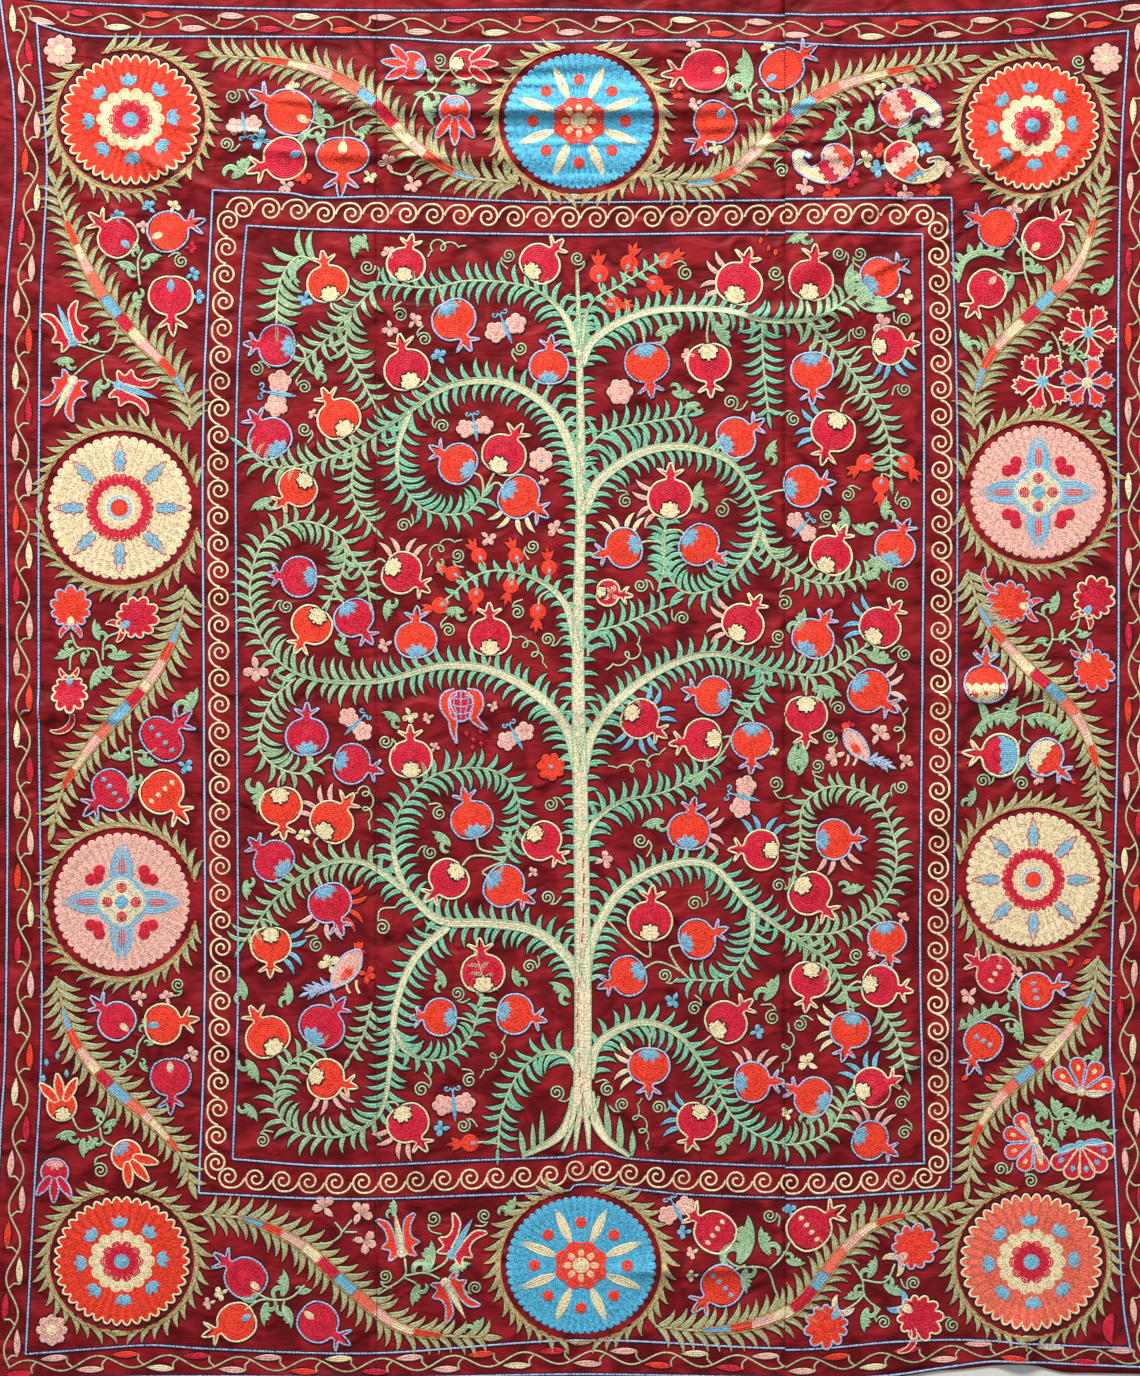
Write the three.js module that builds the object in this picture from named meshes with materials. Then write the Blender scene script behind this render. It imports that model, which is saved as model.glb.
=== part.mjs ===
// A suzani: an embroidered silk cloth sewn from three loom widths, laid out flat with its face up.
// Millimetres, +X to the cloth's right, +Y to its top edge, +Z up, origin under the middle of its outline.
import * as THREE from "three";

// Driving dimensions
const clothWidth = 1457;
const clothLength = 1700;
const clothThickness = 2; // the silk with its embroidery
const hemWidth = 12;
const hemThickness = 2.8; // the edge turned under once
const seams = [-242.4, 247.2]; // where the loom widths meet
const seamGap = 0.3;
const columnStep = 41;
const rowStep = 40;
const topRowStep = 18; // finer in the top border, where the cloth is the most crumpled
const topDepth = 330;

const silk = { color: 0x861c26, roughness: 0.5, metalness: 0 };

// How far each edge stands in from the outline's rectangle, along that edge
const leftEdge = [
  { y: 850, inset: 8 },
  { y: 720, inset: 16 },
  { y: 592, inset: 21 },
  { y: 410, inset: 12 },
  { y: -20, inset: 12 },
  { y: -400, inset: 10 },
  { y: -540, inset: 4 },
  { y: -850, inset: 0 },
];
const rightEdge = [
  { y: 850, inset: 0 },
  { y: 640, inset: 8 },
  { y: 410, inset: 13 },
  { y: -20, inset: 12 },
  { y: -400, inset: 22 },
  { y: -620, inset: 14 },
  { y: -850, inset: 5 },
];
const topEdge = [
  { x: -729, inset: 2 },
  { x: -590, inset: 4 },
  { x: -215, inset: 13 },
  { x: 0, inset: 12 },
  { x: 270, inset: 20 },
  { x: 505, inset: 15 },
  { x: 729, inset: 0 },
];
const bottomEdge = [
  { x: -729, inset: 0 },
  { x: -300, inset: 3 },
  { x: 100, inset: 6 },
  { x: 300, inset: 10 },
  { x: 430, inset: 26 },
  { x: 530, inset: 34 },
  { x: 590, inset: 23 },
  { x: 729, inset: 21 },
];

// Soft folds. x, y: middle; turn: degrees from +X; length: end to end; spread: half the width;
// rise: height of the crest; sag: how far the middle hangs below the line of its ends.
const folds = [
  { name: "topSwag", x: -30, y: 706, turn: 0, length: 1000, spread: 34, rise: 7, sag: 14 },
  { name: "swagAbove", x: 40, y: 766, turn: 2, length: 820, spread: 26, rise: 4, sag: 10 },
  { name: "swagBelow", x: -60, y: 644, turn: -1, length: 780, spread: 30, rise: 5, sag: 12 },
  { name: "swagLow", x: 90, y: 592, turn: 3, length: 560, spread: 26, rise: 3, sag: 10 },
  { name: "rightPullOuter", x: 500, y: 640, turn: 44, length: 400, spread: 24, rise: 5, sag: 8 },
  { name: "rightPullMiddle", x: 380, y: 590, turn: 34, length: 380, spread: 26, rise: 5, sag: -8 },
  { name: "rightPullInner", x: 300, y: 520, turn: 28, length: 300, spread: 26, rise: 4, sag: 6 },
  { name: "leftPull", x: -520, y: 640, turn: -38, length: 360, spread: 24, rise: 4, sag: 6 },
  { name: "leftCrease", x: -346, y: 440, turn: -2, length: 300, spread: 26, rise: 4, sag: 4 },
  { name: "leftCreaseLow", x: -410, y: 386, turn: 5, length: 190, spread: 24, rise: 3, sag: 0 },
  { name: "rightCrease", x: 255, y: 440, turn: 2, length: 430, spread: 30, rise: 5, sag: 5 },
  { name: "leftUpright", x: -568, y: 200, turn: 90, length: 480, spread: 30, rise: 3, sag: 6 },
  { name: "storageCreaseLeft", x: -640, y: -26, turn: -4, length: 240, spread: 24, rise: 5, sag: 0 },
  { name: "storageCreaseRight", x: 500, y: -14, turn: 5, length: 330, spread: 28, rise: 5, sag: -6 },
  { name: "fieldCrease", x: -40, y: -30, turn: 1, length: 620, spread: 30, rise: 2.5, sag: 0 },
  { name: "rightDiagonal", x: 412, y: -164, turn: 50, length: 330, spread: 30, rise: 4, sag: 10 },
  { name: "rightDiagonalLow", x: 384, y: -476, turn: 42, length: 360, spread: 32, rise: 4, sag: -8 },
  { name: "leftDiagonalLow", x: -430, y: -400, turn: -48, length: 320, spread: 30, rise: 3, sag: 8 },
  { name: "bottomCreaseLeft", x: -180, y: -704, turn: -3, length: 330, spread: 28, rise: 4, sag: 6 },
  { name: "bottomCreaseRight", x: 150, y: -706, turn: 2, length: 360, spread: 28, rise: 4, sag: -6 },
  { name: "hemLift", x: 530, y: -800, turn: 82, length: 150, spread: 34, rise: 6, sag: 0 },
];

// The inset at a place along an edge, eased between the rows of its table
const insetAt = (rows, key, at) => {
  const sorted = [...rows].sort((a, b) => a[key] - b[key]);
  const next = sorted.findIndex((row) => row[key] >= at);
  if (next === 0) return sorted[0].inset;
  if (next < 0) return sorted.at(-1).inset;
  const [low, high] = [sorted[next - 1], sorted[next]];
  const t = THREE.MathUtils.smoothstep(at, low[key], high[key]);
  return THREE.MathUtils.lerp(low.inset, high.inset, t);
};

// 1 at 0, falling softly to 0 at 1 and beyond
const swell = (t) => (Math.abs(t) < 1 ? Math.cos((Math.PI / 2) * t) ** 2 : 0);

// Height of the cloth's underside above the surface it lies on
function lift(x, y) {
  let height = 0;
  for (const fold of folds) {
    const turn = THREE.MathUtils.degToRad(fold.turn);
    const dx = x - fold.x;
    const dy = y - fold.y;
    const along = (dx * Math.cos(turn) + dy * Math.sin(turn)) / (fold.length / 2);
    const hang = fold.sag * (1 - along ** 2);
    const across = (-dx * Math.sin(turn) + dy * Math.cos(turn) + hang) / fold.spread;
    height += fold.rise * swell(across) * swell(along);
  }
  return height;
}

// Even stops from start to end, no further apart than step
const stops = (start, end, step) => {
  const count = Math.ceil(Math.abs(end - start) / step);
  return Array.from({ length: count + 1 }, (_, i) => start + ((end - start) * i) / count);
};

// Where each row of points crosses the cloth, from the bottom hem to the top one, as shares of its length
const halfLength = clothLength / 2;
const rowPlaces = [
  -halfLength,
  ...stops(-halfLength + hemWidth, halfLength - topDepth, rowStep),
  ...stops(halfLength - topDepth, halfLength - hemWidth, topRowStep).slice(1),
  halfLength,
].map((y) => (y + halfLength) / clothLength);

// One loom width: a sheet from its left side to its right one, hemmed along the cloth's own edges
function panel({ name, left, right, leftHem, rightHem }) {
  const columns = stops(left + (leftHem ? hemWidth : 0), right - (rightHem ? hemWidth : 0), columnStep);
  if (leftHem) columns.unshift(left);
  if (rightHem) columns.push(right);
  const across = columns.map((x) => (x - left) / (right - left));
  const points = [];
  const faces = [];
  const width = across.length;
  const rows = rowPlaces.length;
  const layer = width * rows;

  for (const face of ["under", "over"])
    rowPlaces.forEach((v, row) =>
      across.forEach((u, column) => {
        const yStraight = -halfLength + v * clothLength;
        const from = left + (leftHem ? insetAt(leftEdge, "y", yStraight) : 0);
        const to = right - (rightHem ? insetAt(rightEdge, "y", yStraight) : 0);
        const x = THREE.MathUtils.lerp(from, to, u);
        const low = -halfLength + insetAt(bottomEdge, "x", x);
        const high = halfLength - insetAt(topEdge, "x", x);
        const y = THREE.MathUtils.lerp(low, high, v);
        const edge =
          row === 0 || row === rows - 1 || (leftHem && column === 0) || (rightHem && column === width - 1);
        const thickness = edge ? hemThickness : clothThickness;
        points.push(x, y, lift(x, y) + (face === "over" ? thickness : 0));
      }),
    );

  const quad = (a, b, c, d) => faces.push(a, b, c, a, c, d);
  for (let row = 0; row < rows - 1; row++)
    for (let column = 0; column < width - 1; column++) {
      const a = row * width + column;
      const b = a + 1;
      const c = b + width;
      const d = a + width;
      quad(layer + a, layer + b, layer + c, layer + d);
      quad(a, d, c, b);
    }
  for (let row = 0; row < rows - 1; row++) {
    const a = row * width;
    const b = a + width - 1;
    quad(a, layer + a, layer + a + width, a + width);
    quad(b, b + width, layer + b + width, layer + b);
  }
  for (let column = 0; column < width - 1; column++) {
    const a = column;
    const b = (rows - 1) * width + column;
    quad(a, a + 1, layer + a + 1, layer + a);
    quad(b, layer + b, layer + b + 1, b + 1);
  }

  const geometry = new THREE.BufferGeometry();
  geometry.setAttribute("position", new THREE.Float32BufferAttribute(points, 3));
  geometry.setIndex(faces);
  geometry.computeVertexNormals();
  const mesh = new THREE.Mesh(geometry, new THREE.MeshStandardMaterial(silk));
  mesh.name = name;
  return mesh;
}

const halfWidth = clothWidth / 2;
const halfGap = seamGap / 2;
const suzani = new THREE.Group();
suzani.add(
  panel({ name: "panel_left", left: -halfWidth, right: seams[0] - halfGap, leftHem: true }),
  panel({ name: "panel_middle", left: seams[0] + halfGap, right: seams[1] - halfGap }),
  panel({ name: "panel_right", left: seams[1] + halfGap, right: halfWidth, rightHem: true }),
);

export default suzani;
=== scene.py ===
# %% [markdown]
# # A suzani, stitch by stitch
# A suzani is a large cloth of silk or cotton, embroidered by hand in silk chain stitch. This one is sewn
# from three narrow loom widths. Each is embroidered on its own, so the motifs are cut through at the two
# seams. The cloth lies flat on a pale floor. Everything on it is a row of chain stitch, 2.5 mm wide, so the
# whole picture is made from one thing: a thin rounded ribbon laid on the cloth along a line.

# %% Load the frame
import math
from collections import namedtuple

import bpy
import numpy as np
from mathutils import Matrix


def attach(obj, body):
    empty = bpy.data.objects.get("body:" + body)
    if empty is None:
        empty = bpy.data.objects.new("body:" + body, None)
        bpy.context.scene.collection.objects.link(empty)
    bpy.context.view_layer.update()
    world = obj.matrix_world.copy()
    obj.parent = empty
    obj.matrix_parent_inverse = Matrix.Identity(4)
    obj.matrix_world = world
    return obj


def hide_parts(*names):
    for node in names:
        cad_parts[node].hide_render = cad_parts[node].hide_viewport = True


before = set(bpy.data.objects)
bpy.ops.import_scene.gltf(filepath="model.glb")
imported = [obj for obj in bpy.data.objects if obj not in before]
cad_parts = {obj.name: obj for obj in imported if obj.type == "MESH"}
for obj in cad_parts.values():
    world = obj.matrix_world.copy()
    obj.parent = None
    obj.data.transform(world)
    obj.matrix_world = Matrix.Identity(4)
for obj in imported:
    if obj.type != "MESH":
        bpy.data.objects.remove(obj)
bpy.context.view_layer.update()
bpy.ops.object.select_all(action="DESELECT")
chance = np.random.default_rng(7)

# %% [markdown]
# ## The chart
# An embroiderer draws the design on the cloth before sewing it. Here the drawing is a chart, read
# off the picture of the cloth: so many units across from its left edge and down from its top edge. A unit
# is 1.2 mm, about half a row of stitches. Everything is drawn in these units, and turned to metres at the
# end.

# %% Chart units
UNIT_MM = 1.2
UNIT = UNIT_MM / 1000
CHART_SIZE = (1140, 1376)
CLOTH_MIDDLE = (579.0, 683.5)
ROW_WIDTH = 2.1
SEAMS = (-202.0, 206.0)  # units to the right of the middle


def at(across, down):
    """A place on the chart, as units right and up from the cloth's middle."""
    return np.array([across - CLOTH_MIDDLE[0], CLOTH_MIDDLE[1] - down])


def route(*places):
    """Places on the chart, in order."""
    return np.array([at(across, down) for across, down in places])


print("the picture spans", [round(n * UNIT, 3) for n in CHART_SIZE], "metres of cloth")

# %% [markdown]
# ## Camera
# The picture is taken straight down on the middle of the cloth, from far enough to keep it square.

# %% Camera
LENS_MM, FILM_MM = 70.0, 36.0
view_height = CHART_SIZE[1] * UNIT
camera_data = bpy.data.cameras.new("camera")
camera_data.lens = LENS_MM
camera_data.sensor_fit = "VERTICAL"
camera_data.sensor_height = FILM_MM
camera = bpy.data.objects.new("camera", camera_data)
bpy.context.collection.objects.link(camera)
aim = at(CHART_SIZE[0] / 2, CHART_SIZE[1] / 2) * UNIT
camera.location = (aim[0], aim[1], view_height * LENS_MM / FILM_MM)
bpy.context.scene.camera = camera
bpy.context.scene.view_settings.view_transform = "Standard"
print("camera height", round(camera.location.z, 2), "m")

# %% [markdown]
# ## How the cloth lies
# The cloth has soft swags under its top edge, pulls that run down from its top corners, and old storage
# creases. Each is one row of a table, in millimetres and degrees: where its middle is, how it turns, how
# long it is, half its width, how high it stands and how far it sags. The broad ones are the same as in the
# solid panels, and the narrow ones are added here.

# %% Folds
BROAD_FOLDS = [
    (-30, 706, 0, 1000, 34, 7, 14), (40, 766, 2, 820, 26, 4, 10), (-60, 644, -1, 780, 30, 5, 12),
    (90, 592, 3, 560, 26, 3, 10), (500, 640, 44, 400, 24, 5, 8), (380, 590, 34, 380, 26, 5, -8),
    (300, 520, 28, 300, 26, 4, 6), (-520, 640, -38, 360, 24, 4, 6), (-346, 440, -2, 300, 26, 4, 4),
    (-410, 386, 5, 190, 24, 3, 0), (255, 440, 2, 430, 30, 5, 5), (-568, 200, 90, 480, 30, 3, 6),
    (-640, -26, -4, 240, 24, 5, 0), (500, -14, 5, 330, 28, 5, -6), (-40, -30, 1, 620, 30, 2.5, 0),
    (412, -164, 50, 330, 30, 4, 10), (384, -476, 42, 360, 32, 4, -8), (-430, -400, -48, 320, 30, 3, 8),
    (-180, -704, -3, 330, 28, 4, 6), (150, -706, 2, 360, 28, 4, -6), (530, -800, 82, 150, 34, 6, 0),
]
NARROW_FOLDS = [
    (-60, 722, -1, 300, 7, 3.4, 3), (-300, 700, -3, 260, 7, 3.2, 4), (-420, 668, -5, 240, 7, 3.0, 5),
    (140, 716, 1, 320, 7, 3.4, 3), (300, 700, 3, 240, 7, 3.0, 4), (-200, 726, -2, 220, 6, 2.6, 3),
    (20, 652, 1, 300, 7, 2.8, 4), (250, 652, 3, 260, 7, 2.8, 4), (-180, 634, -2, 300, 7, 2.6, 4),
    (420, 690, 12, 260, 7, 3.0, 5), (470, 610, 30, 240, 7, 3.0, 4), (400, 520, 26, 260, 7, 2.6, 4),
    (-470, 610, -24, 240, 7, 3.0, 4), (-540, 560, -40, 220, 7, 2.6, 4), (-20, 690, 0, 620, 9, 4.4, 4),
    (-150, 668, -2, 420, 8, 2.7, 5), (190, 672, 3, 380, 9, 3.1, 4), (320, 628, 2, 420, 10, 3.1, -4),
    (-330, 640, -4, 380, 9, 2.7, 4), (60, 610, 1, 520, 8, 2.4, 5), (-120, 742, 1, 560, 9, 2.7, 5),
    (440, 560, 36, 330, 9, 3.7, 5), (330, 548, 30, 280, 8, 3.1, -4), (560, 600, 52, 260, 9, 3.1, 4),
    (-250, 452, 0, 300, 9, 3.1, 3), (250, 446, 1, 420, 9, 3.4, 3), (-620, -36, -6, 220, 8, 3.7, 0),
    (480, -12, 4, 260, 8, 3.1, 0), (390, -470, 44, 260, 10, 2.7, -4), (130, -700, 2, 300, 9, 2.7, 3),
    (-190, -696, -2, 260, 9, 2.4, 3),
]


def swell(t):
    """1 at 0, falling softly to 0 at 1 and beyond."""
    return np.where(np.abs(t) < 1, np.cos(np.clip(t, -1, 1) * math.pi / 2) ** 2, 0.0)


def lift(x, y):
    """Height in metres of the cloth's underside at x, y in metres."""
    x, y = np.asarray(x) * 1000, np.asarray(y) * 1000
    height = np.zeros(np.shape(x))
    for fold_x, fold_y, degrees, length, spread, rise, sag in BROAD_FOLDS + NARROW_FOLDS:
        turn = math.radians(degrees)
        dx, dy = x - fold_x, y - fold_y
        along = (dx * math.cos(turn) + dy * math.sin(turn)) / (length / 2)
        across = -dx * math.sin(turn) + dy * math.cos(turn) + sag * (1 - along**2)
        height += rise * swell(across / spread) * swell(along)
    return height / 1000


print(len(BROAD_FOLDS) + len(NARROW_FOLDS), "folds")

# %% [markdown]
# ## Silk
# The ground is a plain-woven burgundy silk. It swells in soft clouds a few centimetres wide, and the
# stitching puckers it a little, in short ridges about 14 mm apart; the same clouds and puckers paint its
# colour lighter and darker, as painted shade and sheen. Real threads are 0.2 mm apart, too fine to show, so
# the crosswise ribs are drawn 1.5 mm apart and very shallow. The thread is floss silk in a chain: each stitch
# is a small loop, 4 mm long, with a hollow in its middle. The row's own UV map runs along it in stitches, so
# one material draws the loops on every row, with painted shade in each hollow and at the row's edges, painted
# highlights on the strands, and fine specks of random tone and painted glints.

# %% Material helpers
def colour(hex_code):
    """A linear colour from an sRGB hex code."""
    parts = [int(hex_code[i : i + 2], 16) / 255 for i in (1, 3, 5)]
    return [p / 12.92 if p <= 0.04045 else ((p + 0.055) / 1.055) ** 2.4 for p in parts] + [1.0]


def add(material, kind, settings=None, **links):
    """A node of this kind, with settings by name, and inputs by name or number from a socket or a value."""
    tree = material.node_tree
    made = tree.nodes.new(kind)
    for name, value in (settings or {}).items():
        setattr(made, name, value)
    for name, value in links.items():
        number = name[0] == "i" and name[1:].isdigit()
        socket = made.inputs[int(name[1:]) if number else name.replace("_", " ")]
        if isinstance(value, bpy.types.NodeSocket):
            tree.links.new(value, socket)
        else:
            socket.default_value = value
    return made


def calculate(material, operation, *values):
    """What a maths node gives for these sockets or numbers."""
    inputs = {f"i{n}": value for n, value in enumerate(values)}
    return add(material, "ShaderNodeMath", {"operation": operation}, **inputs).outputs[0]


def noise(material, place, scale, **settings):
    return add(material, "ShaderNodeTexNoise", Vector=place, Scale=scale, Detail=1.0, **settings).outputs[0]


def new_material(name):
    material = bpy.data.materials.new(name)
    material.use_nodes = True
    material.node_tree.nodes.clear()
    return material


# %% Woven burgundy silk
RIB_MM, PUCKER_MM = 1.5, 14.0


def woven_silk(name, deep, bright):
    silk = new_material(name)
    place = add(silk, "ShaderNodeTexCoord").outputs["Object"]
    ribs = add(silk, "ShaderNodeMapping", Vector=place, Scale=(60, 1000 / RIB_MM, 1))
    rib = noise(silk, ribs.outputs[0], 1.0)
    ridges = (26, 1000 / PUCKER_MM, 1)
    long_pucker = add(silk, "ShaderNodeMapping", Vector=place, Rotation=(0, 0, 0.1), Scale=ridges)
    pucker = noise(silk, long_pucker.outputs[0], 1.0, Distortion=1.2)
    cloud = noise(silk, place, 24.0, Distortion=0.8)
    # The clouds and puckers also move the colour between its deep and bright ends: painted shade and sheen of
    # the cloth's soft swells and puckers.
    painted_shading = calculate(silk, "MULTIPLY_ADD", cloud, 0.85, calculate(silk, "MULTIPLY_ADD", pucker, 0.15, 0.0))
    shades = add(silk, "ShaderNodeValToRGB", Fac=painted_shading)
    for stop, position, hex_code in zip(shades.color_ramp.elements, (0.36, 0.64), (deep, bright)):
        stop.position, stop.color = position, colour(hex_code)
    soft = add(silk, "ShaderNodeBump", Height=cloud, Strength=0.8, Distance=0.012)
    broad = add(silk, "ShaderNodeBump", Height=pucker, Strength=0.35, Distance=0.004, Normal=soft.outputs[0])
    fine = add(silk, "ShaderNodeBump", Height=rib, Strength=0.12, Distance=0.0006, Normal=broad.outputs[0])
    surface = add(silk, "ShaderNodeBsdfPrincipled", Base_Color=shades.outputs[0], Normal=fine.outputs[0],
                  Roughness=0.6, Specular_IOR_Level=0.12, Sheen_Weight=0.03, Sheen_Roughness=0.4)
    surface.inputs["Sheen Tint"].default_value = colour("#E06A70")
    add(silk, "ShaderNodeOutputMaterial", Surface=surface.outputs[0])
    return silk


# The deep and bright colours are the shaded and lit ends of the painted shade and sheen on the burgundy.
BURGUNDY = woven_silk("burgundy_woven_silk", "#620C13", "#921A23")

# %% Chain-stitched silk thread
THREADS = {
    "cream": "#F3DAB0",
    "ivory": "#F0D5AE",
    "bark": "#F0DDBC",
    "vermilion": "#F43E27",
    "coral": "#F56E58",
    "crimson": "#CC1A38",
    "rose": "#F4B5A8",
    "sky": "#78B6D2",
    "turquoise": "#54B2D8",
    "emerald": "#82C0A0",
    "sage": "#9CBD94",
    "tendril": "#B4C59C",
    "olive": "#AEB58A",
    "ochre": "#C08F5A",
    "stem": "#B2BA90",
    "guard": "#A6B4D2",
    "navy": "#221633",
    # The dark ink row is the drawn line under each shape, and it also paints the shade round the motifs.
    "ink": "#33060C",
}


def stitched_silk(name, hex_code, dark=None, twist_and_shading=0.45):
    """Chain stitch: along the row U counts stitches, and V goes from 0 to 1 across it."""
    thread = new_material(name + "_chain_stitch_silk")
    uv = add(thread, "ShaderNodeUVMap").outputs[0]
    axes = add(thread, "ShaderNodeSeparateXYZ", Vector=uv).outputs
    loop, side = (calculate(thread, "PINGPONG", axis, 0.5) for axis in axes[:2])
    relief = calculate(thread, "MULTIPLY", calculate(thread, "MULTIPLY", loop, side), 4.0)
    shade = add(thread, "ShaderNodeAttribute", {"attribute_name": "shade"}).outputs["Fac"]
    # The loops' relief also lightens and darkens the colour: painted shade in each hollow and at the row's
    # edges, painted highlight on the strands; on the guard thread it also shows its two-tone twist.
    light = calculate(thread, "MULTIPLY_ADD", relief, twist_and_shading, shade)
    # Fine specks of random tone, which also paint glints off single stitches.
    tone_and_glint = noise(thread, add(thread, "ShaderNodeTexCoord").outputs["Object"], 400.0)
    light = calculate(thread, "MULTIPLY_ADD", tone_and_glint, 2.4, light)
    shaded_tones = add(thread, "ShaderNodeMix", {"data_type": "RGBA"}, Factor=light)
    base = np.array(colour(hex_code)[:3])
    # The dark and bright ends are shaded and lit copies of the thread's colour.
    shaded_tones.inputs[6].default_value = colour(dark) if dark else [*(base * 0.5), 1]
    shaded_tones.inputs[7].default_value = [*np.minimum(base * 1.22 + 0.012, 1), 1]
    bump = add(thread, "ShaderNodeBump", Height=relief, Strength=0.4, Distance=0.0006)
    surface = add(thread, "ShaderNodeBsdfPrincipled", Base_Color=shaded_tones.outputs[2], Normal=bump.outputs[0],
                  Roughness=0.5, Specular_IOR_Level=0.15)
    add(thread, "ShaderNodeOutputMaterial", Surface=surface.outputs[0])
    return thread


MATERIALS = {name: stitched_silk(name, code) for name, code in THREADS.items() if name != "guard"}
# The guard thread's darker blue end and stronger relief give its two-tone twist and its painted shade and
# highlight.
MATERIALS["guard"] = stitched_silk("guard", THREADS["guard"], "#4A4668", 1.1)
print(len(MATERIALS), "thread colours")

# %% [markdown]
# ## The three loom widths
# Each panel is a fine grid over the folds, thickened to 1 mm. Its rows are closer in the crumpled top
# border. The outline follows the solid panels' edges, which come from the same short tables: a place along
# the edge, and how far the edge stands in there, in millimetres.

# %% Panel outline
SHEET = 0.001
HALF_LENGTH, HALF_WIDTH = 850.0, 728.5
CRUMPLED_DEPTH = 380
COLUMN_STEP, FINE_ROW_STEP, COARSE_ROW_STEP = 8.0, 3.6, 9.5
LEFT_EDGE = [
    (850, 8), (720, 16), (592, 21), (410, 12), (-20, 12), (-400, 10), (-540, 4), (-850, 0),
]
RIGHT_EDGE = [
    (850, 0), (640, 8), (410, 13), (-20, 12), (-400, 22), (-620, 14), (-850, 5),
]
TOP_EDGE = [
    (-729, 2), (-590, 4), (-215, 13), (0, 12), (270, 20), (505, 15), (729, 0),
]
BOTTOM_EDGE = [
    (-729, 0), (-300, 3), (100, 6), (300, 10), (430, 26), (530, 34), (590, 23), (729, 21),
]


def inset(edge, place):
    """How far an edge of the cloth stands in at a place along it, in millimetres."""
    stops, insets = np.array(sorted(edge), float).T
    place = np.clip(place, stops[0], stops[-1])
    step = np.clip(np.searchsorted(stops, place, side="right") - 1, 0, len(stops) - 2)
    t = (place - stops[step]) / (stops[step + 1] - stops[step])
    return insets[step] + (insets[step + 1] - insets[step]) * t * t * (3 - 2 * t)


def cloth_grid(left, right, left_hem, right_hem):
    """Rows and columns of points over one loom width, in millimetres."""
    columns = np.linspace(0, 1, int((right - left) / COLUMN_STEP) + 1)
    low = np.arange(-HALF_LENGTH, HALF_LENGTH - CRUMPLED_DEPTH, COARSE_ROW_STEP)
    high = np.linspace(low[-1], HALF_LENGTH, int((HALF_LENGTH - low[-1]) / FINE_ROW_STEP))[1:]
    v = (np.concatenate([low, high]) + HALF_LENGTH) / (2 * HALF_LENGTH)
    straight = (v * 2 - 1) * HALF_LENGTH
    start = left + (inset(LEFT_EDGE, straight) if left_hem else 0)
    end = right - (inset(RIGHT_EDGE, straight) if right_hem else 0)
    x = (start + np.zeros_like(v))[:, None] + columns[None, :] * (end - start + np.zeros_like(v))[:, None]
    bottom = -HALF_LENGTH + inset(BOTTOM_EDGE, x)
    top = HALF_LENGTH - inset(TOP_EDGE, x)
    return x, bottom + v[:, None] * (top - bottom)


def loom_width(name, left, right, left_hem=False, right_hem=False):
    """One panel of silk, whose columns follow the cloth's own edge where it has one."""
    x, y = cloth_grid(left, right, left_hem, right_hem)
    rows, columns = x.shape
    x, y = x.ravel() / 1000, y.ravel() / 1000
    points = np.column_stack([x, y, lift(x, y)])
    first = (np.arange(rows - 1)[:, None] * columns + np.arange(columns - 1)[None, :]).ravel()
    quads = np.column_stack([first, first + 1, first + 1 + columns, first + columns])
    mesh = bpy.data.meshes.new(name + "_silk")
    mesh.from_pydata(points.tolist(), [], quads.tolist())
    mesh.materials.append(BURGUNDY)
    sheet = bpy.data.objects.new(name + "_silk", mesh)
    bpy.context.collection.objects.link(sheet)
    bpy.context.view_layer.objects.active = sheet
    sheet.select_set(True)
    bpy.ops.object.shade_smooth()
    solid = sheet.modifiers.new("thickness", "SOLIDIFY")
    solid.thickness, solid.offset = SHEET, 1.0
    bpy.ops.object.modifier_apply(modifier=solid.name)
    sheet.select_set(False)
    print(name, "silk:", len(sheet.data.polygons), "faces")
    return sheet


# %% Make the panels
HALF_GAP = 0.15
seam_left, seam_right = (seam * UNIT_MM for seam in SEAMS)
PANELS = {
    "panel_left": loom_width("panel_left", -HALF_WIDTH, seam_left - HALF_GAP, left_hem=True),
    "panel_middle": loom_width("panel_middle", seam_left + HALF_GAP, seam_right - HALF_GAP),
    "panel_right": loom_width("panel_right", seam_right + HALF_GAP, HALF_WIDTH, right_hem=True),
}

# %% [markdown]
# ## Rows of stitches
# A row is a line, a width and a thread colour. Fills are only rows: side by side along a leaf or a stem,
# one inside the other in a fruit or a rosette, or straight across a petal. Each row's width follows the
# room it has, so a leaf's rows run together at its tip and no cloth shows between them. Under each shape
# lies the ink line that it was drawn with, a flat dark row that shows at its rim and is widened into a
# painted shade round the shape.

# %% Lines
Row = namedtuple("Row", "thread line width layer flat")
stitched = []
STRIP_OVERLAP, RING_OVERLAP, PATCH_OVERLAP = 1.16, 1.3, 1.35


def spaced(line, step):
    """The same line with its points step units apart."""
    line = np.asarray(line, float)
    lengths = np.concatenate([[0], np.cumsum(np.linalg.norm(np.diff(line, axis=0), axis=1))])
    stops = np.linspace(0, lengths[-1], max(2, int(round(lengths[-1] / step)) + 1))
    return np.column_stack([np.interp(stops, lengths, line[:, k]) for k in (0, 1)])


def smooth(points, step=4.0, closed=False):
    """A smooth line through a few points."""
    p = np.asarray(points, float)
    p = np.vstack([p[-1:], p, p[:2]]) if closed else np.vstack([2 * p[0] - p[1], p, 2 * p[-1] - p[-2]])
    t = np.linspace(0, 1, 10, endpoint=False)[:, None]
    spans = [
        0.5 * (2 * b + (c - a) * t + (2 * a - 5 * b + 4 * c - d) * t**2 + (3 * b - a - 3 * c + d) * t**3)
        for a, b, c, d in zip(p, p[1:], p[2:], p[3:])
    ]
    return spaced(np.vstack(spans + [p[-2:-1]]), step)


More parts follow.
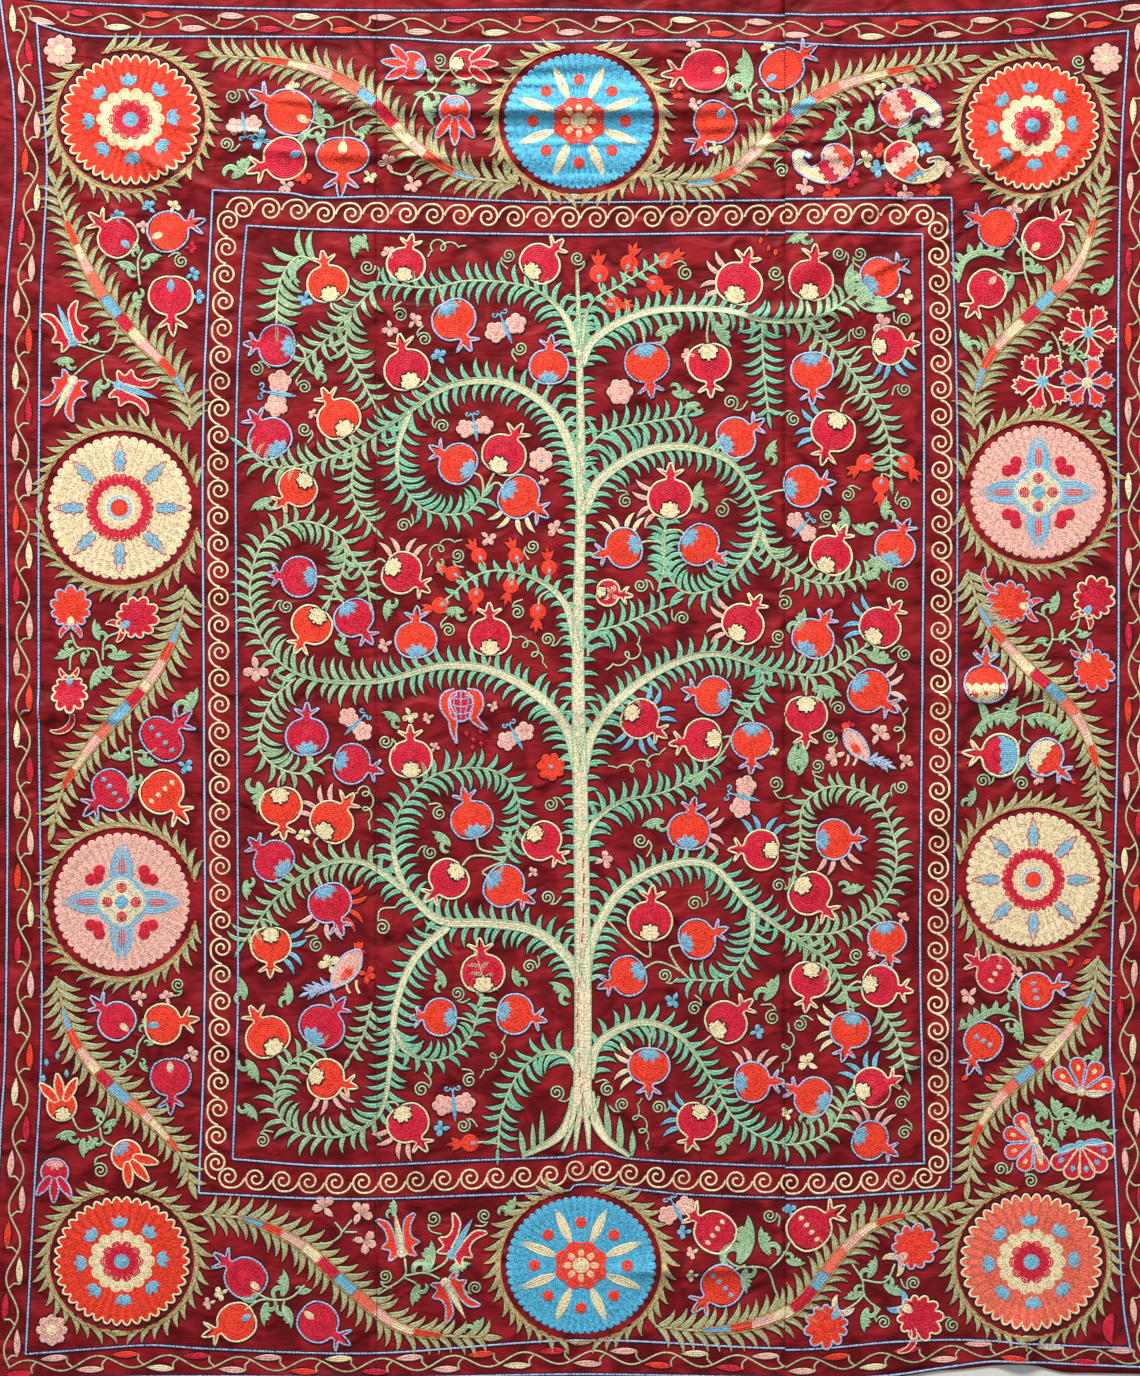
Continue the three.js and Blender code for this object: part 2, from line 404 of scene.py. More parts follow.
def sideways(line):
    """The direction to the left of a line, at each of its points."""
    run = np.gradient(line, axis=0)
    run /= np.maximum(np.linalg.norm(run, axis=1), 1e-9)[:, None]
    return np.column_stack([-run[:, 1], run[:, 0]])


def heading(degrees):
    return np.array([math.cos(math.radians(degrees)), math.sin(math.radians(degrees))])


def headings(angles):
    return np.column_stack([np.cos(np.radians(angles)), np.sin(np.radians(angles))])


def direction_of(line, index):
    run = line[min(index + 1, len(line) - 1)] - line[max(index - 1, 0)]
    return math.degrees(math.atan2(run[1], run[0]))


def swelling(count, blunt=1.0, power=1.0, ends=(0.03, 0.985), span=(0, 1)):
    """Shares of a strip's full width, narrow at both ends. blunt under 1 makes it widest nearer its start."""
    return np.sin(math.pi * np.clip(np.linspace(*span, count), *ends) ** blunt) ** power


def row(thread, line, width=ROW_WIDTH, layer=0.0, flat=False):
    line = np.asarray(line, float)
    width = np.broadcast_to(width, len(line)).astype(float)
    # Rows of the dark ink line, which also paints shade at the shapes' rims, lie flat.
    stitched.append(Row(thread, line, width, layer, flat or thread == "ink"))


def around(shape):
    """A closed shape's points with the first one again at the end."""
    return np.vstack([shape, shape[:1]])


# %% Fills
def strip(line, half, thread, layer=0.0, ink=True, edge=None, edge_sides=(1, -1)):
    """Lengthwise rows on both sides of a line, to half its width, with an edge row of another thread."""
    half = np.broadcast_to(half, len(line)).astype(float)
    left = sideways(line)
    count = max(1, int(round(2 * half.max() / (ROW_WIDTH * 1.1))))
    # A flat dark row wider than the strip: the drawn ink line and painted shade at the strip's rim.
    if ink:
        row("ink", line, 2 * half + 3.0, -1)
    for k in range(count):
        share = (2 * k + 1) / count - 1
        row(thread, line + left * (share * half)[:, None], 2 * half / count * STRIP_OVERLAP, layer)
    for side in edge_sides if edge else ():
        row(edge, line + left * (side * half)[:, None], 1.1, layer + 1.8, flat=True)


def mean_reach(reach):
    return float(np.mean(reach(np.arange(0, 360, 5.0))))


def rings(middle, reach, thread, inner=0.0, layer=0.0, step=3.6):
    """Rows one inside the other, over flat ones that keep the cloth from showing.

    reach gives the shape's radius at an angle in degrees, and inner the share of it that stays free.
    """
    size, depth = mean_reach(reach), 1 - inner
    lobes, turn = getattr(reach, "lobes", (0, 0.0))
    corners = max(18, int(size * 1.1))
    angles = turn + np.arange(corners + 1) * 360 / corners
    backings = max(1, round(depth * size / 5))
    for k in range(backings):
        far = reach(angles) * (inner + (k + 0.5) / backings * depth * 0.95)
        row(thread, middle + headings(angles) * far[:, None], size * depth / backings, layer, flat=True)
    count = max(1, int(round(depth * size / ROW_WIDTH)))
    for k in range(count):
        share = inner + (k + 0.5) / count * depth
        corners = max(8, int(2 * math.pi * size * share / step))
        if lobes and share > 0.3:
            corners = lobes * max(2 if lobes > 20 and share < 0.72 else 4, round(corners / lobes))
        angles = np.arange(corners + 1) * 360.0 / corners + (turn if lobes else k * 17)
        far = reach(angles)
        line = middle + headings(angles) * (far * share)[:, None]
        row(thread, line, far * depth / count * RING_OVERLAP, layer)


def contour(middle, reach, thread, width=ROW_WIDTH, layer=1.0, step=2.4, start=0, end=360):
    """One row along a shape's rim."""
    count = max(8, int(abs(end - start) / 360 * 2 * math.pi * mean_reach(reach) / step))
    lobes, turn = getattr(reach, "lobes", (0, 0.0))
    count = lobes * max(4, round(count / lobes)) if lobes and end - start == 360 else count
    angles = np.linspace(start, end, count + 1) + (turn if lobes else 0)
    row(thread, middle + headings(angles) * reach(angles)[:, None], width, layer)


def disc(radius, lobes=0, depth=0.0, turn=0.0, stretch=1.0):
    """The reach of a round shape with lobes round its rim."""

    def reach(angles):
        a = np.radians(np.asarray(angles, float) - turn)
        lobe = 1 - depth + depth * np.abs(np.cos(lobes * a / 2)) ** 0.75 if lobes else 1.0
        oval = 1 / np.sqrt(np.cos(np.radians(angles)) ** 2 + (np.sin(np.radians(angles)) / stretch) ** 2)
        return radius * lobe * oval

    reach.lobes = (lobes, turn)
    return reach


def placed(middle, direction, size, points):
    """A small drawing's points, given as steps ahead and to the left, put in its place."""
    ahead, left = heading(direction), heading(direction + 90)
    return np.array([middle + (ahead * a + left * l) * size for a, l in points])


def drawn(middle, direction, size, points, step=2.6):
    """A closed drawing as a smooth line in its place."""
    return smooth(placed(middle, direction, size, points), step, closed=True)


def mirrored(half):
    """The other half of a drawing that is the same on both sides."""
    return list(half) + [(a, -l) for a, l in reversed(half) if abs(l) > 1e-6]


def patch(shape, thread, direction, outline=None, layer=0.3, ink=True):
    """Straight rows across a closed shape, and one round it. Bands are threads, each with where it ends."""
    bands = [(thread, 1e6)] if isinstance(thread, str) else thread
    # A flat dark row round the shape: the drawn ink line and painted shade at its rim.
    if ink:
        row("ink", shape, 4.2, -1)
    ahead, left = heading(direction), heading(direction + 90)
    a, l = shape @ ahead, shape @ left
    for n, place in enumerate(np.arange(l.min() + ROW_WIDTH / 2, l.max(), ROW_WIDTH)):
        cut = np.flatnonzero((l > place) != (np.roll(l, -1) > place))
        nxt = (cut + 1) % len(l)
        ends = np.sort(a[cut] + (a[nxt] - a[cut]) * (place - l[cut]) / (l[nxt] - l[cut]))
        for near, far in zip(ends[::2], ends[1::2]):
            for silk, until in bands:
                stop = min(far, until + (1.4 if n // 2 % 2 else -1.4))
                if stop - near > 1.2:
                    run = np.linspace(near + 0.3, stop - 0.3, max(2, int((stop - near) / 6) + 1))[:, None]
                    row(silk, run * ahead + place * left, ROW_WIDTH * PATCH_OVERLAP, layer)
                near = max(near, stop)
    if outline:
        row(outline, around(shape), 2.2, layer + 0.6)


def place_all(make, table):
    """One motif for each row of a table, which starts with its place on the chart."""
    for across, down, *rest in table:
        make(at(across, down), *rest)

# %% [markdown]
# ## Leaves, twigs and curls
# A leaf is a short curved strip that is pointed at both ends. A twig carries leaves on both sides that
# start along it and bend away, like a palm frond, and those on the hollow side of its curve are the
# longest. Curls are single rows wound into a spiral.

# %% Leaf
def bent_line(start, direction, length, bend, points=6):
    """A line that starts in a direction and turns by bend degrees along its length."""
    steps = headings(direction + bend * (np.arange(points) + 0.5) / points) * length / points
    return np.vstack([start, start + np.cumsum(steps, axis=0)])


def leaf(start, direction, length, width, thread, bend=40.0, layer=0.0, edge=None, blunt=0.8, points=6,
         ink=True):
    line = bent_line(np.asarray(start, float), direction, length, bend, points)
    half = width / 2 * swelling(len(line), blunt, 0.8)
    strip(line, half, thread, layer, ink, edge, (-1,) if bend > 0 else (1,))


def drop(start, direction, length, width, thread, layer=1.0, blunt=1.0, points=4):
    """A straight drop of thread that lies on another fill, with no dark row of ink and painted shade of its
    own.
    """
    leaf(start, direction, length, width, thread, 0, layer, blunt=blunt, points=points, ink=False)


def broad_leaf(start, direction, length, hand=1):
    """A half palmette: a pointed blade, two round lobes down one side, and a hook that curls back."""
    length *= chance.uniform(0.9, 1.06)
    start = np.asarray(start, float)
    spine = bent_line(start, direction - 30 * hand, length, 44 * hand, 10)
    leaf(start, direction - 30 * hand, length, length * 0.3, "sage", 44 * hand, blunt=0.72, points=8)
    for index, share in ((6, 0.26), (4, 0.34)):
        leaf(spine[index], direction_of(spine, index) + 48 * hand, length * share, length * 0.17, "sage",
             40 * hand, blunt=1.25, points=4)
    hook = bent_line(spine[2], direction + 22 * hand, length * 0.78, 215 * hand, 12)
    half = length * 0.085 * np.interp(np.linspace(0, 1, len(hook)), [0, 0.25, 0.85, 1], [0.5, 1.1, 0.8, 0.3])
    strip(hook, half, "sage", 0.1)


def leaves_along(line, thread, length=22.0, width=4.9, gap=11.2, lean=30, bend=72, sides=(-1, 1), taper=0.75,
                 edge=None, end_leaf=True, start_share=0.0, end_share=1.0, hollow=1.0, blunt=0.7):
    """Leaves on the sides of a line. hollow makes those on the inner side of its curve longer."""
    line = spaced(line, 1.0)
    total = len(line) - 1
    for n, side in enumerate(sides):
        place = total * start_share + gap * (0.35 + 0.5 * n)
        while place < total * end_share - 2:
            index = int(place)
            turn = direction_of(line, min(index + 12, total)) - direction_of(line, max(index - 12, 0))
            turn = (turn + 180) % 360 - 180
            inside = 1 + (hollow - 1) * (0.5 + 0.5 * math.tanh(turn * side / 8))
            size = (1 - (1 - taper) * (place / total) ** 1.5) * (1 + 0.07 * chance.standard_normal())
            # The outer loom widths were sewn in a greyer green, and a little larger.
            outer_panel = thread == "emerald" and not SEAMS[0] < line[index][0] < SEAMS[1]
            towards = direction_of(line, index) + side * (lean + 4 * chance.standard_normal())
            size *= 1.1 if outer_panel else 1.0
            leaf(line[index], towards, length * size * inside, width * (size + 1) / 2,
                 "sage" if outer_panel else thread, side * bend * inside, edge=edge, blunt=blunt)
            place += gap * (1 + 0.06 * chance.standard_normal())
    if end_leaf:
        leaf(line[-1], direction_of(line, total), length * taper, width * taper, thread, 10, edge=edge)


def curl(middle, radius, start, hand=1, turns=1.6, thread="tendril", lead=None, width=1.9):
    """A spiral round a middle that winds in from a start angle, after a lead-in line."""
    angles = np.arange(0, turns * 360 + 1, 28.0)
    radii = radius * (1 - 0.84 * angles / angles[-1])
    line = middle + headings(start + hand * angles) * radii[:, None]
    if lead is not None:
        line = np.vstack([smooth([*lead, line[0]], 3.0)[:-1], line])
    # A dark row under the curl: the drawn ink line and painted shade beside it.
    row("ink", line, width + 1.4, -1)
    row(thread, line, width, 0.1)


def looped_tendril(places, loops):
    """A thin stem that loops round itself a few times on its way."""
    line = spaced(smooth(places, 1.0), 0.3)
    t = np.linspace(0, 1, len(line))
    spin = 2 * math.pi * loops * t
    left, ahead = sideways(line), np.gradient(line, axis=0) / 0.3
    within = 5.6 * swell((t - 0.5) / 0.4) ** 0.5
    line = line + left * (within * np.cos(spin))[:, None] + ahead * (within * np.sin(spin))[:, None]
    line = spaced(line, 1.3)
    # A dark row under the tendril: the drawn ink line and painted shade beside it.
    row("ink", line, 3.0, -1)
    row("tendril", line, 1.6, 0.1)

# %% [markdown]
# ## Guard lines and running scroll
# Two pale blue lines with dark edges run round the cloth, with a budding vine between them, and two more
# frame the field, with a running scroll between them. Each line is a chain row between two dark ones. The
# chart gives the few places where a line bends with the pull of the cloth.

# %% Guard lines
OUTER_GUARD = [
    route((0, -6), (36, 0), (90, 4), (200, 8), (400, 11), (560, 10), (780, 16), (830, 17), (1000, 13),
          (1140, 0), (1163, -6)),
    route((1163, -6), (1154, 160), (1151, 340), (1151, 700), (1143, 1020), (1145, 1084), (1150, 1199),
          (1156, 1301), (1162, 1366)),
    route((1162, 1366), (1072, 1362), (999, 1359), (940, 1366), (880, 1374), (780, 1377), (580, 1374),
          (400, 1377), (200, 1376), (60, 1378), (-6, 1382)),
    route((-6, 1382), (-4, 1240), (1, 1130), (6, 1020), (8, 700), (5, 340), (15, 190), (14, 97), (7, 50),
          (0, -6)),
]
INNER_GUARD = [
    route((37, 24), (87, 36), (200, 37), (380, 38), (480, 43), (700, 41), (850, 48), (930, 46), (1030, 42),
          (1128, 33)),
    route((1128, 33), (1121, 160), (1118, 340), (1118, 700), (1110, 1020), (1112, 1084), (1117, 1199),
          (1123, 1301), (1130, 1346)),
    route((1130, 1346), (1072, 1344), (970, 1338), (893, 1340), (780, 1348), (580, 1340), (375, 1353),
          (217, 1349), (153, 1345), (102, 1348), (26, 1354)),
    route((26, 1354), (34, 1200), (42, 1020), (39, 700), (40, 340), (47, 180), (44, 110), (40, 65),
          (37, 24)),
]
OUTER_FRAME = [
    route((213, 191), (286, 193), (318, 198), (400, 197), (560, 203), (760, 201), (951, 200)),
    route((951, 200), (957, 420), (956, 700), (953, 950), (951, 1188)),
    route((951, 1188), (800, 1197), (700, 1195), (662, 1192), (600, 1185), (575, 1185), (564, 1191),
          (480, 1195), (340, 1199), (199, 1193)),
    route((199, 1193), (205, 1000), (204, 700), (203, 450), (208, 300), (213, 191)),
]
INNER_FRAME = [
    route((247, 226), (330, 230), (560, 235), (760, 233), (922, 236)),
    route((922, 236), (924, 460), (922, 700), (920, 950), (924, 1162)),
    route((924, 1162), (800, 1166), (700, 1163), (634, 1159), (606, 1154), (575, 1154), (564, 1157),
          (480, 1160), (340, 1166), (233, 1159)),
    route((233, 1159), (238, 1000), (237, 700), (236, 450), (241, 300), (247, 226)),
]

for side in OUTER_GUARD + INNER_GUARD + OUTER_FRAME + INNER_FRAME:
    line = smooth(side, 6.0)
    row("navy", line, 4.4, -0.6, flat=True)
    row("guard", line, 1.9, 0.5)
print("guard lines:", len(stitched), "rows")

# %% Running scroll
SCROLL_PITCH, VINE_PITCH = 26.8, 73
VINE_SWAY = 6.5


def between(outer, inner):
    """The line half way between two lines, with a point at each unit."""
    a, b = smooth(outer, 2.0), smooth(inner, 2.0)
    stops = np.linspace(0, 1, len(a))
    b = np.column_stack([np.interp(stops, np.linspace(0, 1, len(b)), b[:, k]) for k in (0, 1)])
    return spaced((a + b) / 2, 1.0)


def scroll(middle, direction):
    """One curl of the running scroll: in from the curl before, over the top and round to the middle."""
    ahead, outward = heading(direction), heading(direction + 90)
    lead = [(-16.0, 0.0), (-13.5, 5.5), (-8.5, 9.6)]
    spiral = [(11.2 * (1 - 0.82 * n / 19), 105 - 31 * n) for n in range(20)]
    local = lead + [(r * math.cos(math.radians(a)), r * math.sin(math.radians(a))) for r, a in spiral]
    row("cream", smooth([middle + ahead * x + outward * y for x, y in local], 2.4), 2.1)


for outer, inner in zip(OUTER_FRAME, INNER_FRAME):
    path = between(outer, inner)
    count = round(len(path) / SCROLL_PITCH)
    for n in range(count):
        index = int((n + 0.5) * len(path) / count)
        scroll(path[index], direction_of(path, index))

# %% Budding vine between the guard lines
BUD_THREADS = ["rose", "vermilion", "cream", "crimson"]


def budding_vine(outer, inner):
    path = between(outer, inner)
    waves = round(len(path) / VINE_PITCH)
    sway = VINE_SWAY * np.sin(np.arange(len(path)) / len(path) * waves * 2 * math.pi)
    stem = path + sideways(path) * sway[:, None]
    row("stem", spaced(stem, 4.0), 1.8)
    for n in range(waves * 2):
        index = min(int((n + 0.22) * len(path) / (waves * 2)), len(path) - 2)
        side = -1 if n % 2 else 1
        towards = direction_of(path, index)
        foot = stem[index]
        base = path[index] - sideways(path)[index] * side * 7 + heading(towards) * 5
        row("stem", smooth([foot, (foot + base) / 2 + heading(towards) * 3, base], 2.5), 1.8)
        leaf(base, towards + side * 2, 27, 6.4, BUD_THREADS[(n * 3 + n // 5) % 4], 0, blunt=0.85)


for outer, inner in zip(OUTER_GUARD, INNER_GUARD):
    budding_vine(outer, inner)
print("borders:", len(stitched), "rows")

# %% [markdown]
# ## Rosettes
# Ten rosettes stand in the border, of four kinds. Each is a nest of lobed rings with smaller motifs laid
# over them, inside two arcs of a thorny wreath that don't quite meet.

# %% Rosette parts
def nest(middle, radius, stretch, table):
    """Lobed rings from a table: share of the radius, lobes, their depth, thread, free share and layer."""
    for share, lobes, depth, thread, inner, layer in table:
        step = 2.4 if share < 0.14 else 3.6
        rings(middle, disc(radius * share, lobes, depth, 0, stretch), thread, inner, layer, step)


def petal_fan(middle, thread, count, start, end, width, turn=0.0, stretch=1.0, layer=1):
    """Pointed petals that stand out from a middle."""
    for n in range(count):
        out = heading(turn + n * 360 / count) * (1, stretch)
        line = np.array([middle + out * r for r in np.linspace(start, end, 9)])
        strip(line, width / 2 * swelling(9, 0.8, ends=(0.03, 0.99)), thread, layer, ink=False)


def ring_of_dots(middle, thread, count, away, radius, stretch, layer=1):
    for n in range(count):
        towards = n * 360 / count
        place = middle + heading(towards) * (away, away * stretch)
        rings(place, disc(radius, turn=towards), thread, layer=layer, step=2.4)


def tulip(middle, direction, size, thread, layer):
    """A small three-petalled bloom that opens in a direction."""
    half = size * 0.27 * swelling(6, 0.8, ends=(0, 0.97), span=(0.12, 1))
    for turn, share in ((-42, 0.95), (0, 1.0), (42, 0.95)):
        strip(bent_line(middle, direction + turn, size * share, 0, 5), half, thread, layer, ink=False)


def wreath(middle, away, stretch, start, end):
    """A thorny twig that follows a rosette's rim, with its thorns outside."""
    angles = np.linspace(start, end, 40)
    arc = spaced(headings(angles) * (1, stretch) * away + middle, 4.0)
    strip(arc, 2.2 * swelling(len(arc), 1.0, 0.6, (0.02, 0.98)), "olive", edge="ochre", ink=False)
    side = 1 if end < start else -1
    leaves_along(arc, "olive", 22, 5.8, 11.5, 16, 56, sides=(side,), taper=0.8, edge="ochre", blunt=0.5)


# %% Four kinds of rosette
def fiery_rosette(middle, radius, stretch, main):
    # A dark lobed rim under the rosette: the drawn ink line and painted shade round it.
    contour(middle, disc(radius + 1, 38, 0.12, 0, stretch), "ink", 5.0, -1, 1.4)
    nest(middle, radius, stretch, [(1.0, 38, 0.11, main, 0.46, 0.0)])
    contour(middle, disc(radius + 0.5, 38, 0.12, 0, stretch), "cream", 2.2, 1, 1.4)
    nest(middle, radius, stretch, [(0.5, 14, 0.14, "cream", 0.5, 0.6), (0.33, 10, 0.2, "crimson", 0.3, 1.2),
                                   (0.12, 0, 0, "sky", 0.0, 1.6)])
    for n in range(8):
        place = middle + heading(n * 45 + 3) * (radius * 0.54, radius * 0.54 * stretch)
        tulip(place, n * 45 + 3, radius * 0.2, "sky", 1.2)


def blue_rosette(middle, radius, stretch):
    nest(middle, radius, stretch, [(1.0, 56, 0.06, "turquoise", 0.22, 0.0)])
    petal_fan(middle, "cream", 8, radius * 0.33, radius * 0.93, radius * 0.13, 22.5, stretch)
    ring_of_dots(middle, "vermilion", 8, radius * 0.62, radius * 0.075, stretch)
    rings(middle, disc(radius * 0.36, 8, 0.18, 22.5, stretch), "vermilion", 0.2, 1.1)
    petal_fan(middle, "cream", 8, radius * 0.1, radius * 0.28, radius * 0.085, 0, stretch, 1.6)
    nest(middle, radius, stretch, [(0.11, 0, 0, "cream", 0.0, 2)])


def cream_rosette(middle, radius, stretch):
    nest(middle, radius, stretch, [
        (1.0, 46, 0.055, "ivory", 0.42, 0.0), (0.48, 26, 0.1, "crimson", 0.55, 0.6),
        (0.32, 16, 0.1, "ivory", 0.4, 1.0), (0.18, 0, 0, "sky", 0.6, 1.2),
        (0.13, 0, 0, "vermilion", 0.0, 1.2),
    ])
    teeth = np.where(np.arange(13) % 3 == 1, 1.35, 0.85)
    half = radius * 0.075 * swelling(13, 0.62, ends=(0.05, 0.98)) * teeth
    for n in range(8):
        foot = middle + heading(n * 45) * (radius * 0.5, radius * 0.5 * stretch)
        line = bent_line(foot, n * 45, radius * 0.42, 0, 12)
        strip(line, half, "sky", 1, ink=False)
        for side in (-1, 1):
            row("crimson", line + sideways(line) * (side * (half + 0.3))[:, None], 1.2, 1.5)


def rose_rosette(middle, radius, stretch):
    nest(middle, radius, stretch, [(1.0, 46, 0.055, "rose", 0.25, 0.0)])
    petal_fan(middle, "sky", 4, radius * 0.1, radius * 0.93, radius * 0.36, 0, stretch, 0.8)
    nest(middle, radius, stretch, [(0.38, 0, 0, "sky", 0.4, 0.8)])
    petal_fan(middle, "vermilion", 4, radius * 0.36, radius * 0.72, radius * 0.12, 0, stretch, 1.3)
    nest(middle, radius, stretch, [(0.36, 4, 0.22, "ivory", 0.2, 1.3)])
    ring_of_dots(middle, "crimson", 4, radius * 0.21, radius * 0.08, stretch, 1.8)
    rings(middle, disc(radius * 0.1), "sky", layer=1.9, step=2.4)
    for n in range(4):
        for spread in (-9, 0, 9):
            place = middle + heading(45 + 90 * n + spread) * radius * (0.56 if spread else 0.5) * (1, stretch)
            rings(place, disc(radius * 0.085), "crimson", layer=1.4, step=2.6)


# %% Place the rosettes
ROSETTES = [  # maker, place, radius, height for its width, where each wreath starts and ends, thread
    (fiery_rosette, 131, 120, 69, 0.93, ((112, -42), (128, 300)), "vermilion"),
    (fiery_rosette, 1032, 128, 66, 0.95, ((70, 205), (48, -150)), "vermilion"),
    (fiery_rosette, 122, 1261, 67, 0.95, ((100, 262), (80, -85)), "vermilion"),
    (fiery_rosette, 1031, 1260, 70, 0.96, ((80, -85), (100, 262)), "coral"),
    (blue_rosette, 579, 122, 75, 0.9, ((100, 262), (80, -82))),
    (blue_rosette, 581, 1265, 75, 0.92, ((100, 262), (80, -82))),
    (cream_rosette, 120, 508, 72, 1.0, ((15, 168), (-14, -168))),
    (cream_rosette, 1033, 879, 67, 1.0, ((168, 14), (-168, -12))),
    (rose_rosette, 1038, 493, 68, 0.98, ((170, 8), (-172, -10))),
    (rose_rosette, 122, 902, 68, 1.02, ((15, 168), (-14, -168))),
]
for maker, across, down, radius, stretch, wreaths, *thread in ROSETTES:
    maker(at(across, down), radius, stretch, *thread)
    for start, end in wreaths:
        wreath(at(across, down), radius + 8, stretch, start, end)
print("with rosettes:", len(stitched), "rows")

# %% [markdown]
# ## The tree
# A tree of life fills the field. Its trunk and boughs are pale rows side by side with a green line along
# each rim, and they thin out into green leafy twigs. Each bough is a short route on the chart, from where
# it leaves the trunk to its tip, with its thickness there and how far the pale core runs.

# %% Trunk and roots
TRUNK = [(577, 270), (579, 340), (581, 480), (578, 660), (581, 830), (583, 1000), (582, 1118)]
trunk = smooth(route(*TRUNK), 6.0)
TRUNK_STOPS = [
    (1118, 11.5), (1085, 8.6), (900, 7.4), (780, 7.0), (640, 5.4), (480, 4.4), (350, 2.8), (270, 0.9),
]
stops = np.array([(at(0, down)[1], half) for down, half in TRUNK_STOPS])
strip(trunk, np.interp(trunk[:, 1], stops[:, 0], stops[:, 1]), "bark", 0.6, edge="sage")
ROOTS = [
    (((578, 1088), (571, 1116), (556, 1138), (522, 1156)), 6.0),
    (((588, 1092), (594, 1116), (606, 1138), (630, 1156)), 6.0),
    (((575, 1105), (570, 1130), (562, 1151)), 3.6), (((580, 1105), (577, 1130), (575, 1150)), 3.4),
    (((586, 1105), (588, 1130), (589, 1149)), 3.6), (((592, 1120), (596, 1106), (599, 1096)), 3.2),
]
for places, thick in ROOTS:
    root = smooth(route(*places), 4.0)
    strip(root, thick * np.linspace(1, 0.1, len(root)) ** 0.6, "bark", 0.5, edge="sage")
GRASS = [
    (524, 1156, 96, 26, 6), (533, 1155, 88, 33, 5), (541, 1150, 86, 40, 5), (609, 1144, 92, 42, 6.5),
    (620, 1152, 88, 36, 7), (632, 1156, 86, 26, 6),
]
for across, foot, lean, length, width in GRASS:
    leaf(at(across, foot), lean, length, width, "sage", 6)
for down in range(858, 1118, 15):  # short red slits down the trunk
    slit = at(581 + 3.2 * math.sin(down * 1.7), down)
    row("crimson", np.array([slit, slit - (0.5, 9)]), 1.5, 1.6)

